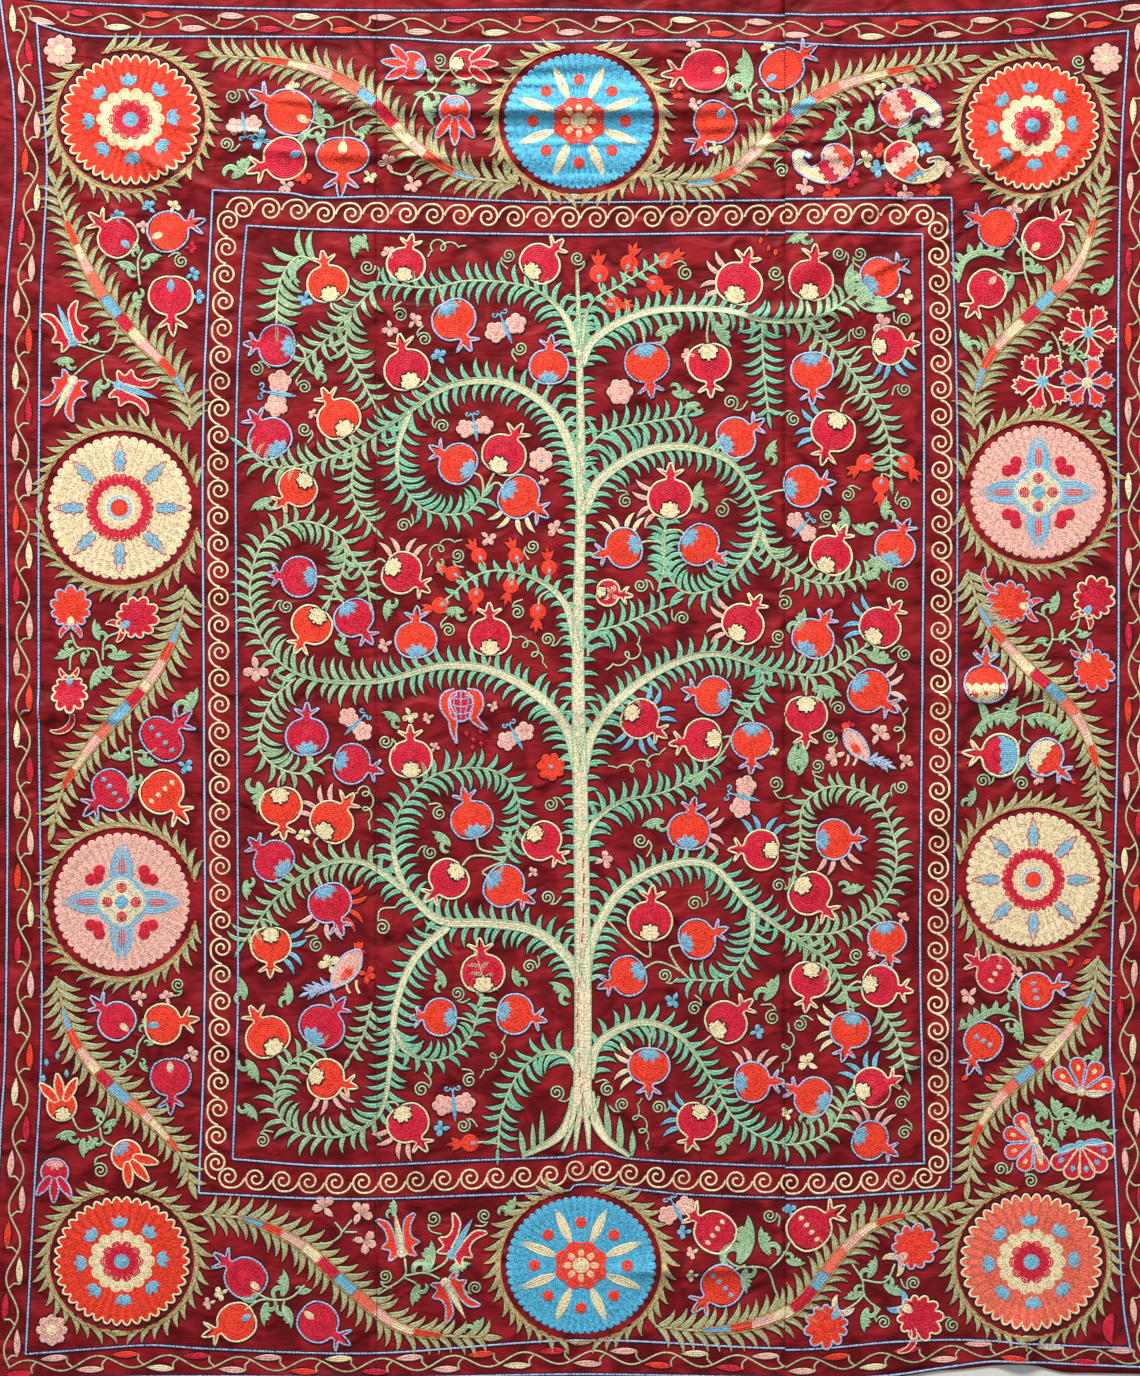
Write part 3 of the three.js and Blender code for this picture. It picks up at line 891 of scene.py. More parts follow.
# %% Boughs
Bough = namedtuple("Bough", "places thick core leaf length width", defaults=("emerald", 24.0, 5.0))
BOUGHS = [
    Bough(((579, 356), (568, 322), (548, 298), (520, 285), (470, 281), (430, 288), (384, 284)), 4.4, 0.36),
    Bough(((582, 364), (592, 342), (620, 322), (660, 310), (720, 310), (765, 321), (815, 320),
     (862, 290)), 4.2, 0.97),
    Bough(((580, 350), (590, 305), (620, 286), (662, 260)), 2.6, 0.45, "emerald", 14),
    Bough(((580, 500), (573, 455), (550, 410), (505, 383), (450, 386), (400, 418), (340, 454),
     (275, 468), (244, 447)), 5.2, 0.72),
    Bough(((410, 412), (398, 448), (401, 482), (425, 510), (462, 514), (482, 498)), 3.0, 0.5),
    Bough(((584, 512), (600, 480), (640, 453), (685, 447), (730, 462), (756, 500), (760, 532)), 5.2, 1.0),
    Bough(((760, 528), (746, 558), (716, 588), (684, 592), (666, 568), (665, 528)), 3.0, 0.4),
    Bough(((760, 530), (776, 560), (815, 583), (860, 578), (890, 556)), 3.0, 0.22, "sage", 20),
    Bough(((588, 448), (606, 432), (640, 424), (688, 416)), 2.4, 0.0),
    Bough(((577, 652), (566, 606), (540, 581), (505, 571), (476, 576), (446, 600)),
     4.4, 0.62, "emerald", 15),
    Bough(((588, 656), (590, 634), (620, 625), (668, 606)), 2.6, 0.0),
    Bough(((578, 772), (566, 728), (536, 694), (490, 670), (440, 666), (378, 681), (310, 678),
     (268, 650), (250, 598), (262, 545), (300, 522), (338, 534), (352, 556)), 5.4, 0.6),
    Bough(((345, 540), (344, 566), (330, 600)), 2.0, 0.0, "sage", 18),
    Bough(((352, 556), (366, 578), (370, 602)), 2.0, 0.0, "sage", 18),
    Bough(((296, 678), (270, 704), (259, 742), (272, 764), (300, 774), (318, 764)), 2.6, 0.0, "sage"),
    Bough(((583, 772), (592, 734), (618, 700), (664, 668), (715, 654), (775, 670), (822, 674),
     (864, 648)), 5.4, 0.8),
    Bough(((757, 662), (764, 688), (744, 716)), 2.2, 0.0, "emerald", 19),
    Bough(((583, 850), (594, 822), (622, 801), (668, 791), (712, 766)), 3.2, 0.6),
    Bough(((582, 988), (568, 958), (535, 931), (490, 923), (440, 920), (405, 890), (365, 863),
     (325, 864), (280, 894), (244, 942)), 5.4, 0.94),
    Bough(((448, 926), (415, 958), (396, 1005), (391, 1060), (379, 1114), (340, 1136), (294, 1130),
     (274, 1100), (290, 1064), (318, 1044)), 4.2, 0.66),
    Bough(((406, 892), (394, 855), (398, 815), (430, 778), (475, 768), (508, 780), (520, 818),
     (504, 862)), 3.6, 0.3),
    Bough(((393, 1028), (408, 1052), (440, 1060), (468, 1040), (480, 1008)), 3.2, 0.4, "emerald", 20),
    Bough(((372, 1002), (364, 1034), (350, 1058)), 2.0, 0.0, "sage", 18),
    Bough(((585, 988), (592, 942), (618, 894), (662, 867), (710, 865), (750, 905), (795, 938),
     (830, 962), (846, 994)), 5.4, 0.97),
    Bough(((753, 912), (750, 945), (728, 978), (690, 980)), 3.0, 0.4),
    Bough(((790, 934), (842, 930), (886, 896), (896, 850), (878, 802), (836, 786), (804, 804),
     (800, 842), (794, 874)), 2.4, 0.0, "sage", 20),
    Bough(((846, 990), (848, 1008)), 2.0, 0.0, "sage", 16),
    Bough(((878, 1006), (896, 1034), (906, 1070)), 2.2, 0.0, "sage", 20),
    Bough(((589, 1078), (600, 1042), (640, 1022), (680, 1036), (712, 1080), (736, 1120), (780, 1143),
     (826, 1132), (848, 1096)), 4.6, 0.5),
    Bough(((578, 1072), (566, 1054), (540, 1054), (516, 1078), (502, 1112), (498, 1148)), 3.6, 0.42),
    Bough(((806, 322), (838, 356), (874, 404), (890, 446), (891, 478)), 2.2, 0.0, "sage"),
    Bough(((762, 320), (763, 360), (768, 412)), 2.4, 0.0),
    Bough(((378, 284), (352, 312), (330, 336), (300, 366)), 2.2, 0.0, "sage"),
    Bough(((352, 312), (346, 346), (362, 380), (374, 404)), 2.2, 0.0, "sage"),
    Bough(((318, 262), (296, 258), (279, 286), (277, 324)), 2.4, 0.0, "sage", 28, 6.4),
    Bough(((358, 448), (352, 480), (356, 504), (372, 526)), 2.4, 0.0, "sage"),
    Bough(((658, 592), (664, 566), (662, 540), (668, 520)), 2.0, 0.0, "emerald", 17),
    Bough(((478, 1006), (484, 984), (478, 960)), 2.0, 0.0, "sage", 17),
]
bough_lines = [trunk]
for bough in BOUGHS:
    line = smooth(route(*bough.places), 4.0)
    bough_lines.append(line)
    gap = 11.0 if bough.length > 16 else 12.5
    leaves_along(line, bough.leaf, bough.length, bough.width, gap, hollow=1.18)
    row("tendril", line, 2.2, 0.2)
    core = line[np.linspace(0, 1, len(line)) <= bough.core]
    if len(core) > 3:
        run = np.linspace(0, 1, len(core))
        half = bough.thick / 1.1 * (1 - 0.88 * run**2.2) * (1 - 0.25 * run)
        strip(core, half, "bark", 0.4, edge="sage")
for side in (-1, 1):
    leaves_along(trunk[::-1], "emerald", 21, 4.6, 13.5, 50, 66, sides=(side,), taper=0.85, end_leaf=False,
                 start_share=0.21, end_share=0.97)
print("with the tree:", len(stitched), "rows")

# %% [markdown]
# ## Pomegranates
# Each fruit is a flattened round fill worked in rings, and one chained outline goes round it and up into a
# three-pointed crown. Opposite the crown is a lobed cap, where the stalk joins. Some fruit have burst and
# show their flesh as coloured fingers on one side. Border fruit are cut open and show a line of seeds.

# %% Pomegranate
BODY = [
    (-0.86, 0.0), (-0.84, 0.36), (-0.62, 0.78), (-0.12, 1.0), (0.36, 0.93), (0.7, 0.66), (0.84, 0.34),
    (0.88, 0.2),
]
CROWN = [
    (1.04, 0.18), (1.14, 0.36), (1.36, 0.62), (1.28, 0.36), (1.2, 0.17), (1.38, 0.14), (1.66, 0.0),
]
CLOVER = [
    (-0.04, 0.12), (0.06, 0.32), (0.28, 0.46), (0.4, 0.32), (0.54, 0.36), (0.66, 0.22), (0.6, 0.1),
    (0.76, 0.0),
]
FRUIT_THREADS = {
    "orange": ("vermilion", "guard", "sky"),
    "pale": ("vermilion", "cream", "cream"),
    "red": ("crimson", "cream", "cream"),
    "dark": ("crimson", "guard", "sky"),
    "pink": ("crimson", "rose", "cream"),
}


def fruit_reach(radius, direction, long=0.84):
    def reach(angles):
        a = np.radians(np.asarray(angles, float) - direction)
        oval = long / np.sqrt(np.cos(a) ** 2 + (long * np.sin(a)) ** 2)
        neck = 0.12 * np.exp(-(((np.asarray(angles, float) - direction + 180) % 360 - 180) / 22) ** 2)
        return radius * (oval + neck)

    return reach


def cap(base, direction, size, thread):
    """The lobed patch at the stalk: rounded lobes in cream, pointed ones in blue."""
    if thread == "cream":
        shape = drawn(base, direction, size * 1.34, mirrored(CLOVER), 2.4)
        # A dark ring round the cap: the drawn ink line and painted shade at its rim.
        row("ink", around(shape), 2.8, 1.9)
        patch(shape, thread, direction, None, 1.7, ink=False)
    else:
        for turn in (-52, -18, 18, 52):
            drop(base, direction + turn, size * 0.95, size * 0.42, thread)


def crown_point(middle, direction, radius, thread, side, places, widths=(0.26, 0.2, 0.08)):
    """One point of a crown, drawn for the left side and mirrored where side is -1."""
    places = [(a, side * l) for a, l in places]
    row(thread, placed(middle, direction, radius, places), np.array(widths) * radius, 0.2)


def pomegranate(middle, direction, radius, kind, fingers=(), seeds=0, crown=1.0, heart=None, long=0.84):
    """One fruit. crown and long stretch its crown and its body, and heart is a drop of thread for its cap."""
    fill, outline, heart_thread = FRUIT_THREADS[kind]
    ahead, left = heading(direction), heading(direction + 90)
    lean = 0.07 * chance.standard_normal()
    stretch = long / 0.84
    tall = [(a * stretch, l) for a, l in BODY]
    profile = tall + [(stretch + (a - 1.0) * crown, l * (0.6 + 0.4 * crown)) for a, l in CROWN]
    outer = drawn(middle, direction, radius, [(a, l + lean * max(a - 0.6, 0)) for a, l in mirrored(profile)])
    # A flat dark row round the fruit: the drawn ink line and painted shade at its rim.
    row("ink", outer, 4.6, -1)
    rings(middle, fruit_reach(radius * 0.95, direction, long), fill)
    for side in (-1, 1):
        places = [(stretch - 0.1, 0.1), (stretch + 0.12 * crown, 0.22), (stretch + 0.3 * crown, 0.48)]
        crown_point(middle, direction, radius, fill, side, places)
    places = [(stretch - 0.3, 0), (stretch + 0.1, 0), (stretch + 0.55 * crown, 0)]
    crown_point(middle, direction, radius, fill, 0, places, (0.4, 0.28, 0.08))
    row(outline, around(outer), 2.1, 0.7)
    if seeds:
        for n in range(seeds):
            place = middle + left * radius * 0.42 * (n - (seeds - 1) / 2)
            drop(place - ahead * 3.5, direction, 7.0, 4.6, heart_thread, points=3)
    elif heart:
        foot = middle - ahead * radius * 0.8 * stretch
        drop(foot, direction, radius * 0.66, radius * 0.36, heart, blunt=1.2)
    else:
        cap(middle - ahead * radius * 0.82, direction, radius * 0.74, heart_thread)
    for thread, side in fingers:
        for n in range(4):
            towards = side + (n - 1.5) * 24
            rim = middle + heading(towards) * radius * 0.96
            leaf(rim, towards - (n - 1.5) * 12, 19, 4.8, thread, 52 * (1 if n > 1 else -1), 0.1, blunt=0.65)


def stalk(middle, direction, radius):
    """A thin stalk from a fruit's cap to the nearest bough, unless that touches it or is far away."""
    base = middle - heading(direction) * radius * 0.86
    points = np.vstack(bough_lines)
    away = np.linalg.norm(points - base, axis=1)
    nearest = points[np.argmin(away)]
    gap = away.min()
    if 3 < gap < 70:
        bend = base - heading(direction) * gap * 0.5
        row("tendril", smooth([base, (2 * bend + base) / 3, (bend + nearest) / 2, nearest], 3.0), 2.2, 0.3)


# %% Fruit in the field
FIELD_FRUIT = [
    (328, 284, 100, "pale", 20.5), (406, 265, 80, "red", 19), (540, 264, 45, "red", 20.5),
    (454, 320, -60, "orange", 22), (739, 284, 70, "red", 23, ("rose", 165)), (811, 282, 80, "red", 22),
    (880, 279, 35, "orange", 20.5), (277, 346, 178, "dark", 20.5), (889, 347, 5, "red", 19, ("sky", -80)),
    (407, 370, 105, "red", 22.5), (549, 367, 88, "orange", 19.5), (647, 363, -82, "orange", 22),
    (709, 363, -86, "red", 21.5), (812, 372, -86, "orange", 21), (339, 419, 120, "pale", 21.5),
    (270, 439, 125, "dark", 22), (504, 455, 62, "red", 22), (458, 464, 150, "orange", 20.5),
    (736, 438, 30, "orange", 20.5), (833, 432, -112, "red", 22, ("sky", 165)), (298, 488, 225, "pale", 19.5),
    (519, 497, -32, "orange", 22, ("cream", -105)), (670, 499, 88, "red", 22, ("rose", 190)),
    (802, 487, 10, "orange", 20.5), (624, 548, 196, "orange", 20, ("cream", 95)),
    (699, 545, -36, "orange", 21), (831, 556, 62, "red", 21), (895, 549, 70, "orange", 20),
    (299, 577, 180, "dark", 20), (402, 573, -32, "red", 21, ("rose", 88)), (312, 625, 236, "pale", 20.5),
    (354, 618, -54, "dark", 20), (416, 640, 92, "orange", 20.5), (490, 637, 90, "red", 21),
    (743, 624, 56, "red", 21, ("rose", 172)), (880, 628, 52, "red", 21, ("sky", 158)),
    (813, 639, 58, "orange", 21), (713, 696, 166, "orange", 19.5), (869, 691, -40, "orange", 22, ("rose", 6)),
    (640, 719, -36, "red", 20, ("sky", -100), ("sky", 35)), (703, 740, 186, "red", 21),
    (752, 741, -92, "orange", 20.5), (806, 715, -90, "red", 21), (307, 737, 92, "dark", 21),
    (352, 764, -16, "dark", 20), (411, 759, 92, "red", 21), (281, 806, -84, "pale", 21),
    (332, 822, 50, "pale", 22, ("rose", 128)), (472, 820, 105, "orange", 21), (542, 841, -46, "red", 20),
    (689, 831, 84, "orange", 21, ("rose", 0)), (761, 850, 178, "red", 20, ("sky", 84)),
    (834, 839, 2, "orange", 20, ("rose", -80)), (274, 861, 140, "dark", 21), (449, 879, 225, "red", 20.5),
    (504, 886, -32, "orange", 21.5), (810, 893, -48, "red", 22),
    (330, 903, -66, "dark", 21.5, ("vermilion", -10), ("rose", 250)), (650, 921, 88, "red", 22),
    (697, 939, 20, "orange", 20), (271, 945, -90, "pale", 20, ("sky", -12)), (483, 973, 92, "red", 21.5),
    (628, 976, 205, "orange", 20), (887, 938, -80, "orange", 19), (810, 979, -98, "red", 20),
    (880, 985, -10, "red", 20.5), (268, 1037, 120, "pale", 22), (322, 1027, 50, "dark", 23),
    (440, 1017, 176, "orange", 18.5), (515, 1014, -12, "orange", 20), (726, 1022, 42, "red", 21.5),
    (850, 1029, -100, "orange", 20, ("cream", 176)), (326, 1079, -16, "pale", 20, ("rose", -78)),
    (649, 1066, -92, "orange", 20.5, ("cream", 180)), (752, 1082, 2, "orange", 20, ("rose", 84)),
    (813, 1096, 156, "orange", 20), (872, 1086, 20, "red", 19.5, ("sky", 118)),
    (408, 1123, -60, "red", 21, ("rose", 236)), (697, 1121, -110, "red", 20, ("sky", 165)),
    (870, 1139, -26, "orange", 19.5, ("rose", 84)),
]


def hanging_fruit(middle, direction, kind, radius, *fingers):
    stalk(middle, direction, radius)
    pomegranate(middle, direction, radius, kind, fingers)


place_all(hanging_fruit, FIELD_FRUIT)
print("with the fruit:", len(stitched), "rows")

# %% [markdown]
# ## Small buds, flowers, butterflies and birds
# The spaces between the boughs are never left empty: they hold tiny fruit in one thread, pink flowers,
# butterflies with a blue body, and two birds. Each is built once as a drawing of a few petals and lines,
# then placed and turned from a table.

# %% Small motifs
def tiny_fruit(middle, direction, size):
    stalk(middle, direction, size)
    rings(middle, disc(size * 0.92), "vermilion", step=4.4)
    for turn, length in ((-30, 1.5), (0, 1.75), (30, 1.5)):
        leaf(middle + heading(direction) * size * 0.7, direction + turn * 0.5, size * length, size * 0.5,
             "vermilion", turn, 0.1, points=4)
    drop(middle - heading(direction) * size * 0.75, direction, size * 0.8, size * 0.42, "sky", 0.8, 1.1, 3)


def blossom(middle, direction, size, thread, petals, heart="sky", rim=1.6, free=0.88):
    """Round petals over a dark ring of ink and painted shade, and a drop at the heart."""
    rings(middle, disc(size, petals, 0.3, direction), thread, step=3.0)
    # A dark ring under the petals: the drawn ink line and painted shade round them.
    rings(middle, disc(size + rim, petals, 0.3, direction), "ink", free, -1, 4.0)
    if heart:
        drop(middle - heading(direction) * 2.4, direction, 5, 4, heart, 0.8, 0.8, 3)


def pip(middle, direction, size, thread):
    """Three round petals over a pointed foot."""
    for turn in (-62, 0, 62):
        leaf(middle, direction + turn, size, size * 0.68, thread, 0, 0.2, blunt=1.8, points=4)
    leaf(middle, direction + 180, size * 0.9, size * 0.5, thread, 30, 0.1, points=3)


def butterfly(middle, direction, size):
    """Two fan-shaped wings beside a blue body with curled feelers."""
    ahead, left = heading(direction), heading(direction + 90)
    for side in (-1, 1):
        wing = middle + left * side * size * 0.5 + ahead * size * 0.04
        blossom(wing, direction + 90 * side, size * 0.5, "rose", 5, None, 1.4, 0.86)
    body = np.array([middle + ahead * size * s for s in np.linspace(-0.72, 0.55, 8)])
    strip(body, size * 0.1 * swelling(8, span=(0.08, 0.92)), "sky", 0.8, ink=False)
    for side in (-1, 1):
        tip = middle + ahead * size * 0.78 + left * side * size * 0.26
        lead = [body[-1], body[-1] + ahead * 2]
        curl(tip, size * 0.15, direction + 90 * side + 180, -side, 1.0, "sky", lead, 1.7)


def bird(middle, facing, size):
    """A pink bird with a blue outline, a red wing and crest, and a spread tail."""
    direction = 58 if facing > 0 else 122
    shape = [(-0.95, 0.12), (-0.55, 0.4), (0.0, 0.5), (0.5, 0.42), (0.85, 0.2), (1.0, 0.0), (0.8, -0.24),
             (0.3, -0.44), (-0.3, -0.36), (-0.7, -0.1)]
    body = drawn(middle, direction, size, [(a, l * facing) for a, l in shape], 2.8)
    patch(body, "rose", direction, "guard")
    back = middle - heading(direction) * size * 0.5
    leaf(back, direction - 14 * facing, size * 0.9, size * 0.36, "vermilion", 12 * facing, 1.0, points=5,
         ink=False)
    face, crest = (middle + heading(direction) * size * far for far in (0.86, 0.95))
    leaf(face, direction - 55 * facing, size * 0.34, size * 0.2, "crimson", 0, 0.4)
    for turn in (-26, 0, 26):
        leaf(crest, 95 + turn, size * 0.4, size * 0.2, "vermilion", 0, 0.2)
    foot = middle - heading(direction) * size * 0.9
    tail = smooth([foot, foot - (facing * size * 0.5, -1), foot - (facing * size * 1.1, 4)], 3.0)
    row("guard", tail, 3.2, 0.4)
    leaves_along(tail, "guard", size * 0.6, 4.0, 5.2, 24, 26, taper=0.8)
    for offset in (0.0, 0.4):
        leg = middle + (facing * size * offset, -size * 0.42)
        row("cream", smooth([leg, leg - (0, size * 0.3), leg - (-3 * facing, size * 0.55)], 3.0), 2.6, 0.2)


def burst_fruit(middle):
    """A fruit split wide open, with its flesh as a net between two curved halves of its skin."""
    flesh = [(1.0, 0.0), (0.7, 0.7), (0.0, 0.8), (-0.7, 0.62), (-1.0, 0.2)]
    patch(drawn(middle, 90, 15, mirrored(flesh)), "crimson", 90, "guard")
    for n in range(-1, 2):
        upright = [(0.95, n * 0.25), (0.3, n * 0.5), (-0.4, n * 0.3), (-0.9, n * 0.36)]
        level = [(n * 0.5 + 0.1, 0.72), (n * 0.5 - 0.06, 0.0), (n * 0.5 + 0.1, -0.72)]
        for places, layer in ((upright, 1.2), (level, 1.3)):
            row("guard", smooth(placed(middle, 90, 15, places)), 1.5, layer)
    skins = (((0.95, 0.35), (0.6, 0.95), (-0.1, 1.0), (-0.9, 0.55), (-1.7, 0.5), (-2.5, 0.3)),
             ((0.95, -0.35), (0.7, -1.0), (0.0, -1.15), (-0.7, -0.85), (-1.2, -1.2), (-1.6, -1.75)))
    for skin in skins:
        line = smooth(placed(middle, 90, 15, skin), 3.0)
        half = 5.2 * swelling(len(line), 0.6, 0.7, (0.06, 0.98))
        strip(line, half, "vermilion", 0.6)
        side = sideways(line) * half[:, None]
        row("guard", np.vstack([line + side, (line - side)[::-1]]), 2.2, 1.6)


# %% Place the small motifs
burst_fruit(at(461, 706))
TINY_FRUIT = [
    (599, 274, 92, 10), (629, 264, 70, 9.5), (666, 261, 24, 9), (655, 284, -30, 9), (614, 305, -4, 9),
    (479, 556, 122, 8.5), (516, 556, 110, 8.5), (549, 568, 96, 8.5), (453, 574, 155, 8.5), (440, 606, 196, 9),
    (476, 596, -96, 8.5), (511, 586, -108, 8.5), (538, 612, -96, 9), (865, 464, 214, 9.5),
    (906, 464, -55, 9.5), (881, 486, -94, 9.5), (470, 1143, 184, 9.5),
]
place_all(tiny_fruit, TINY_FRUIT)
BUTTERFLIES = [
    (506, 329, 112, 22), (279, 394, 172, 24), (475, 428, 100, 19), (801, 528, 45, 18), (355, 725, 45, 20),
    (516, 737, 118, 20), (744, 797, 166, 22), (454, 1105, 95, 22), (244, 125, -82, 18), (677, 1211, 118, 20),
]
place_all(butterfly, BUTTERFLIES)
place_all(blossom, [(620, 392, 0, 13.5, "rose", 6, None), (541, 460, 90, 12.5, "rose", 6),
                    (551, 767, 20, 14.5, "vermilion", 7)])
place_all(bird, [(347, 970, 1, 24), (856, 746, -1, 20)])
PIPS = [
    (389, 254, 120, 8, "rose"), (306, 298, -110, 9, "sky"), (314, 415, 150, 6, "rose"),
    (390, 328, -90, 9, "rose"), (414, 322, 40, 9, "rose"), (492, 706, -20, 6, "rose"),
    (434, 748, 60, 6, "rose"), (429, 718, 200, 6.5, "rose"), (557, 530, 150, 10, "rose"),
    (603, 860, 10, 10, "rose"), (532, 873, 40, 6, "rose"), (386, 645, 200, 8, "rose"),
    (256, 668, -90, 14, "rose"), (902, 918, 60, 7, "rose"), (874, 952, 200, 7, "rose"),
    (788, 1112, 210, 7, "cream"), (756, 1032, 10, 8, "sky"), (773, 750, -60, 6, "cream"),
    (689, 356, 180, 8, "rose"), (880, 326, 30, 11, "rose"), (330, 966, 110, 12, "cream"),
    (366, 974, -20, 10, "vermilion"), (836, 756, 190, 11, "rose"), (878, 735, 50, 12, "rose"),
    (612, 595, 140, 10, "cream"), (849, 727, 90, 6, "crimson"), (543, 480, -70, 6, "rose"),
]
place_all(pip, PIPS)
pomegranate(at(608, 593), -8, 13, "red", crown=1.5)
for across, down in ((752, 257), (760, 244), (768, 252), (757, 263), (766, 236), (775, 256)):
    leaf(at(across, down), 80, 7, 4, "vermilion", 0, points=3)
for across, down in ((466, 731), (473, 737), (480, 729), (472, 745), (481, 741)):
    leaf(at(across, down), -80, 6, 4.4, "crimson", 0, points=3)

# %% Broad leaves and looped tendrils in the field
BROAD = [
    (358, 236, -90, 24, 1), (356, 236, -60, 22, -1), (318, 380, 70, 22, -1), (272, 500, 215, 26, 1),
    (247, 880, -80, 22, 1), (258, 782, -100, 34, -1), (464, 612, 190, 22, 1), (390, 600, -90, 24, 1),
    (336, 640, -40, 24, 1), (400, 722, 160, 22, 1), (450, 846, 150, 26, 1), (444, 988, 120, 24, 1),
    (520, 986, 100, 22, -1), (664, 822, 200, 24, 1), (672, 392, 0, 24, 1), (656, 336, 10, 28, -1),
    (716, 322, -50, 30, 1), (808, 236, -150, 24, 1), (846, 530, 110, 26, 1), (886, 520, 80, 26, -1),
    (796, 632, 80, 26, 1), (792, 770, 70, 30, -1), (804, 768, 110, 26, 1), (764, 1000, 70, 34, 1),
    (842, 890, 20, 24, 1), (696, 508, 70, 30, -1), (690, 785, 50, 26, 1), (246, 1060, -70, 26, -1),
    (244, 1104, -60, 24, -1), (716, 1146, 20, 24, -1), (852, 298, 80, 34, -1), (856, 300, -4, 40, 1),
    (866, 566, -6, 40, -1), (866, 652, -10, 34, 1), (812, 690, -20, 34, -1), (438, 562, -60, 16, 1),
    (700, 405, 200, 18, 1), (244, 1000, 110, 24, 1), (806, 1122, 60, 26, 1), (504, 832, -60, 20, 1),
]
place_all(broad_leaf, BROAD)
LOOPED = [
    (((428, 257), (436, 245), (450, 247), (466, 246)), 3),
    (((350, 796), (366, 790), (368, 810), (370, 830)), 4),
    (((510, 636), (522, 640), (535, 652), (547, 668)), 4),
    (((428, 566), (436, 550), (450, 543), (462, 540)), 3),
    (((608, 766), (628, 768), (648, 762), (666, 748)), 4),
    (((642, 1098), (636, 1112), (644, 1130), (648, 1150)), 4),
    (((788, 1022), (790, 1036), (786, 1052), (782, 1072)), 3),
    (((908, 708), (900, 722), (900, 736), (898, 752)), 3),
    (((506, 1034), (500, 1050), (490, 1064), (480, 1078)), 3),
    (((640, 636), (636, 652), (622, 660), (606, 670)), 3),
]
for places, loops in LOOPED:
    looped_tendril(route(*places), loops)
print("with the small motifs:", len(stitched), "rows")

# %% [markdown]
# ## Striped vines in the border
# Ten leafy vines wind between the rosettes. Each has a core of short bands in all the thread colours,
# thickest in its middle, and thorny olive leaves with an ochre edge that lean to its tip.

# %% Striped vines
BANDS = ["sky", "vermilion", "rose", "cream", "crimson", "sky", "coral", "rose", "ivory", "vermilion"]
VINES = [
    ((520, 184), (460, 175), (415, 146), (370, 100), (330, 75), (280, 62), (215, 56)),
    ((640, 172), (686, 184), (732, 172), (786, 122), (830, 92), (890, 74), (960, 62)),
    ((190, 430), (188, 400), (170, 370), (140, 340), (100, 290), (70, 230), (55, 185)),
    ((186, 585), (178, 628), (150, 680), (97, 739), (65, 785), (54, 823)),
    ((56, 976), (72, 1035), (107, 1081), (150, 1119), (181, 1155), (190, 1180)),
    ((974, 430), (975, 395), (995, 350), (1046, 301), (1080, 262), (1104, 185)),
    ((967, 570), (985, 618), (1025, 665), (1075, 714), (1096, 765), (1098, 808)),
    ((1098, 955), (1089, 999), (1050, 1050), (1000, 1096), (975, 1135), (968, 1180)),
    ((200, 1214), (250, 1220), (301, 1244), (345, 1283), (393, 1323), (431, 1334), (482, 1337)),
    ((655, 1326), (699, 1330), (752, 1324), (800, 1301), (844, 1247), (883, 1219), (948, 1206)),
]


def striped_vine(places):
    line = smooth(route(*places), 2.0)
    half = 5.4 * swelling(len(line), 1.0, 1.2, (0.01, 0.99))
    core = half > 1.8
    for side in (-1, 1):
        foot = line + sideways(line) * (side * (half + 0.8))[:, None]
        leaves_along(foot, "olive", 25, 5.8, 11.6, 22, 66, sides=(side,), taper=0.8, edge="ochre",
                     end_leaf=False, blunt=0.55)
    # A dark row under the vine's core: the drawn ink line and painted shade at its rim.
    row("ink", line[core], 2 * half[core] + 3.4, -0.4)
    strip(line, 1.2, "olive", 0.2, ink=False)
    first, last = np.flatnonzero(core)[[0, -1]]
    cuts = np.linspace(first, last, len(BANDS) + 1) + chance.uniform(-3, 3, len(BANDS) + 1)
    cuts = np.clip(cuts, first, last).astype(int)
    for thread, a, b in zip(BANDS, cuts, cuts[1:]):
        strip(line[a : b + 2], half[a : b + 2], thread, 1.2, ink=False)
    for side in (-1, 1):
        rim = line[core] + sideways(line[core]) * (side * (half[core] + 0.9))[:, None]
        row("ochre", rim, 1.2, 3.2, flat=True)
    leaf(line[-1], direction_of(line, len(line) - 1), 20, 6, "olive", 6, edge="ochre")


for places in VINES:
    striped_vine(places)
print("with the vines:", len(stitched), "rows")

# %% [markdown]
# ## Flowers and fruit of the border
# Each gap between a rosette and a vine holds three flowers or fruit of one kind on a branching stem: cut
# pomegranates, scalloped palmettes, carnations, lotus with drop-shaped petals, winged flowers, or paisleys.
# A red fill has a cream outline and an orange one a blue outline, or the other way about.

# %% Kinds of flower
def outlined(middle, direction, size, half, fill, outline, layer=0.3):
    """A closed drawing that is the same on both sides, filled in one thread and outlined in another."""
    patch(drawn(middle, direction, size, mirrored(half)), fill, direction, outline, layer)


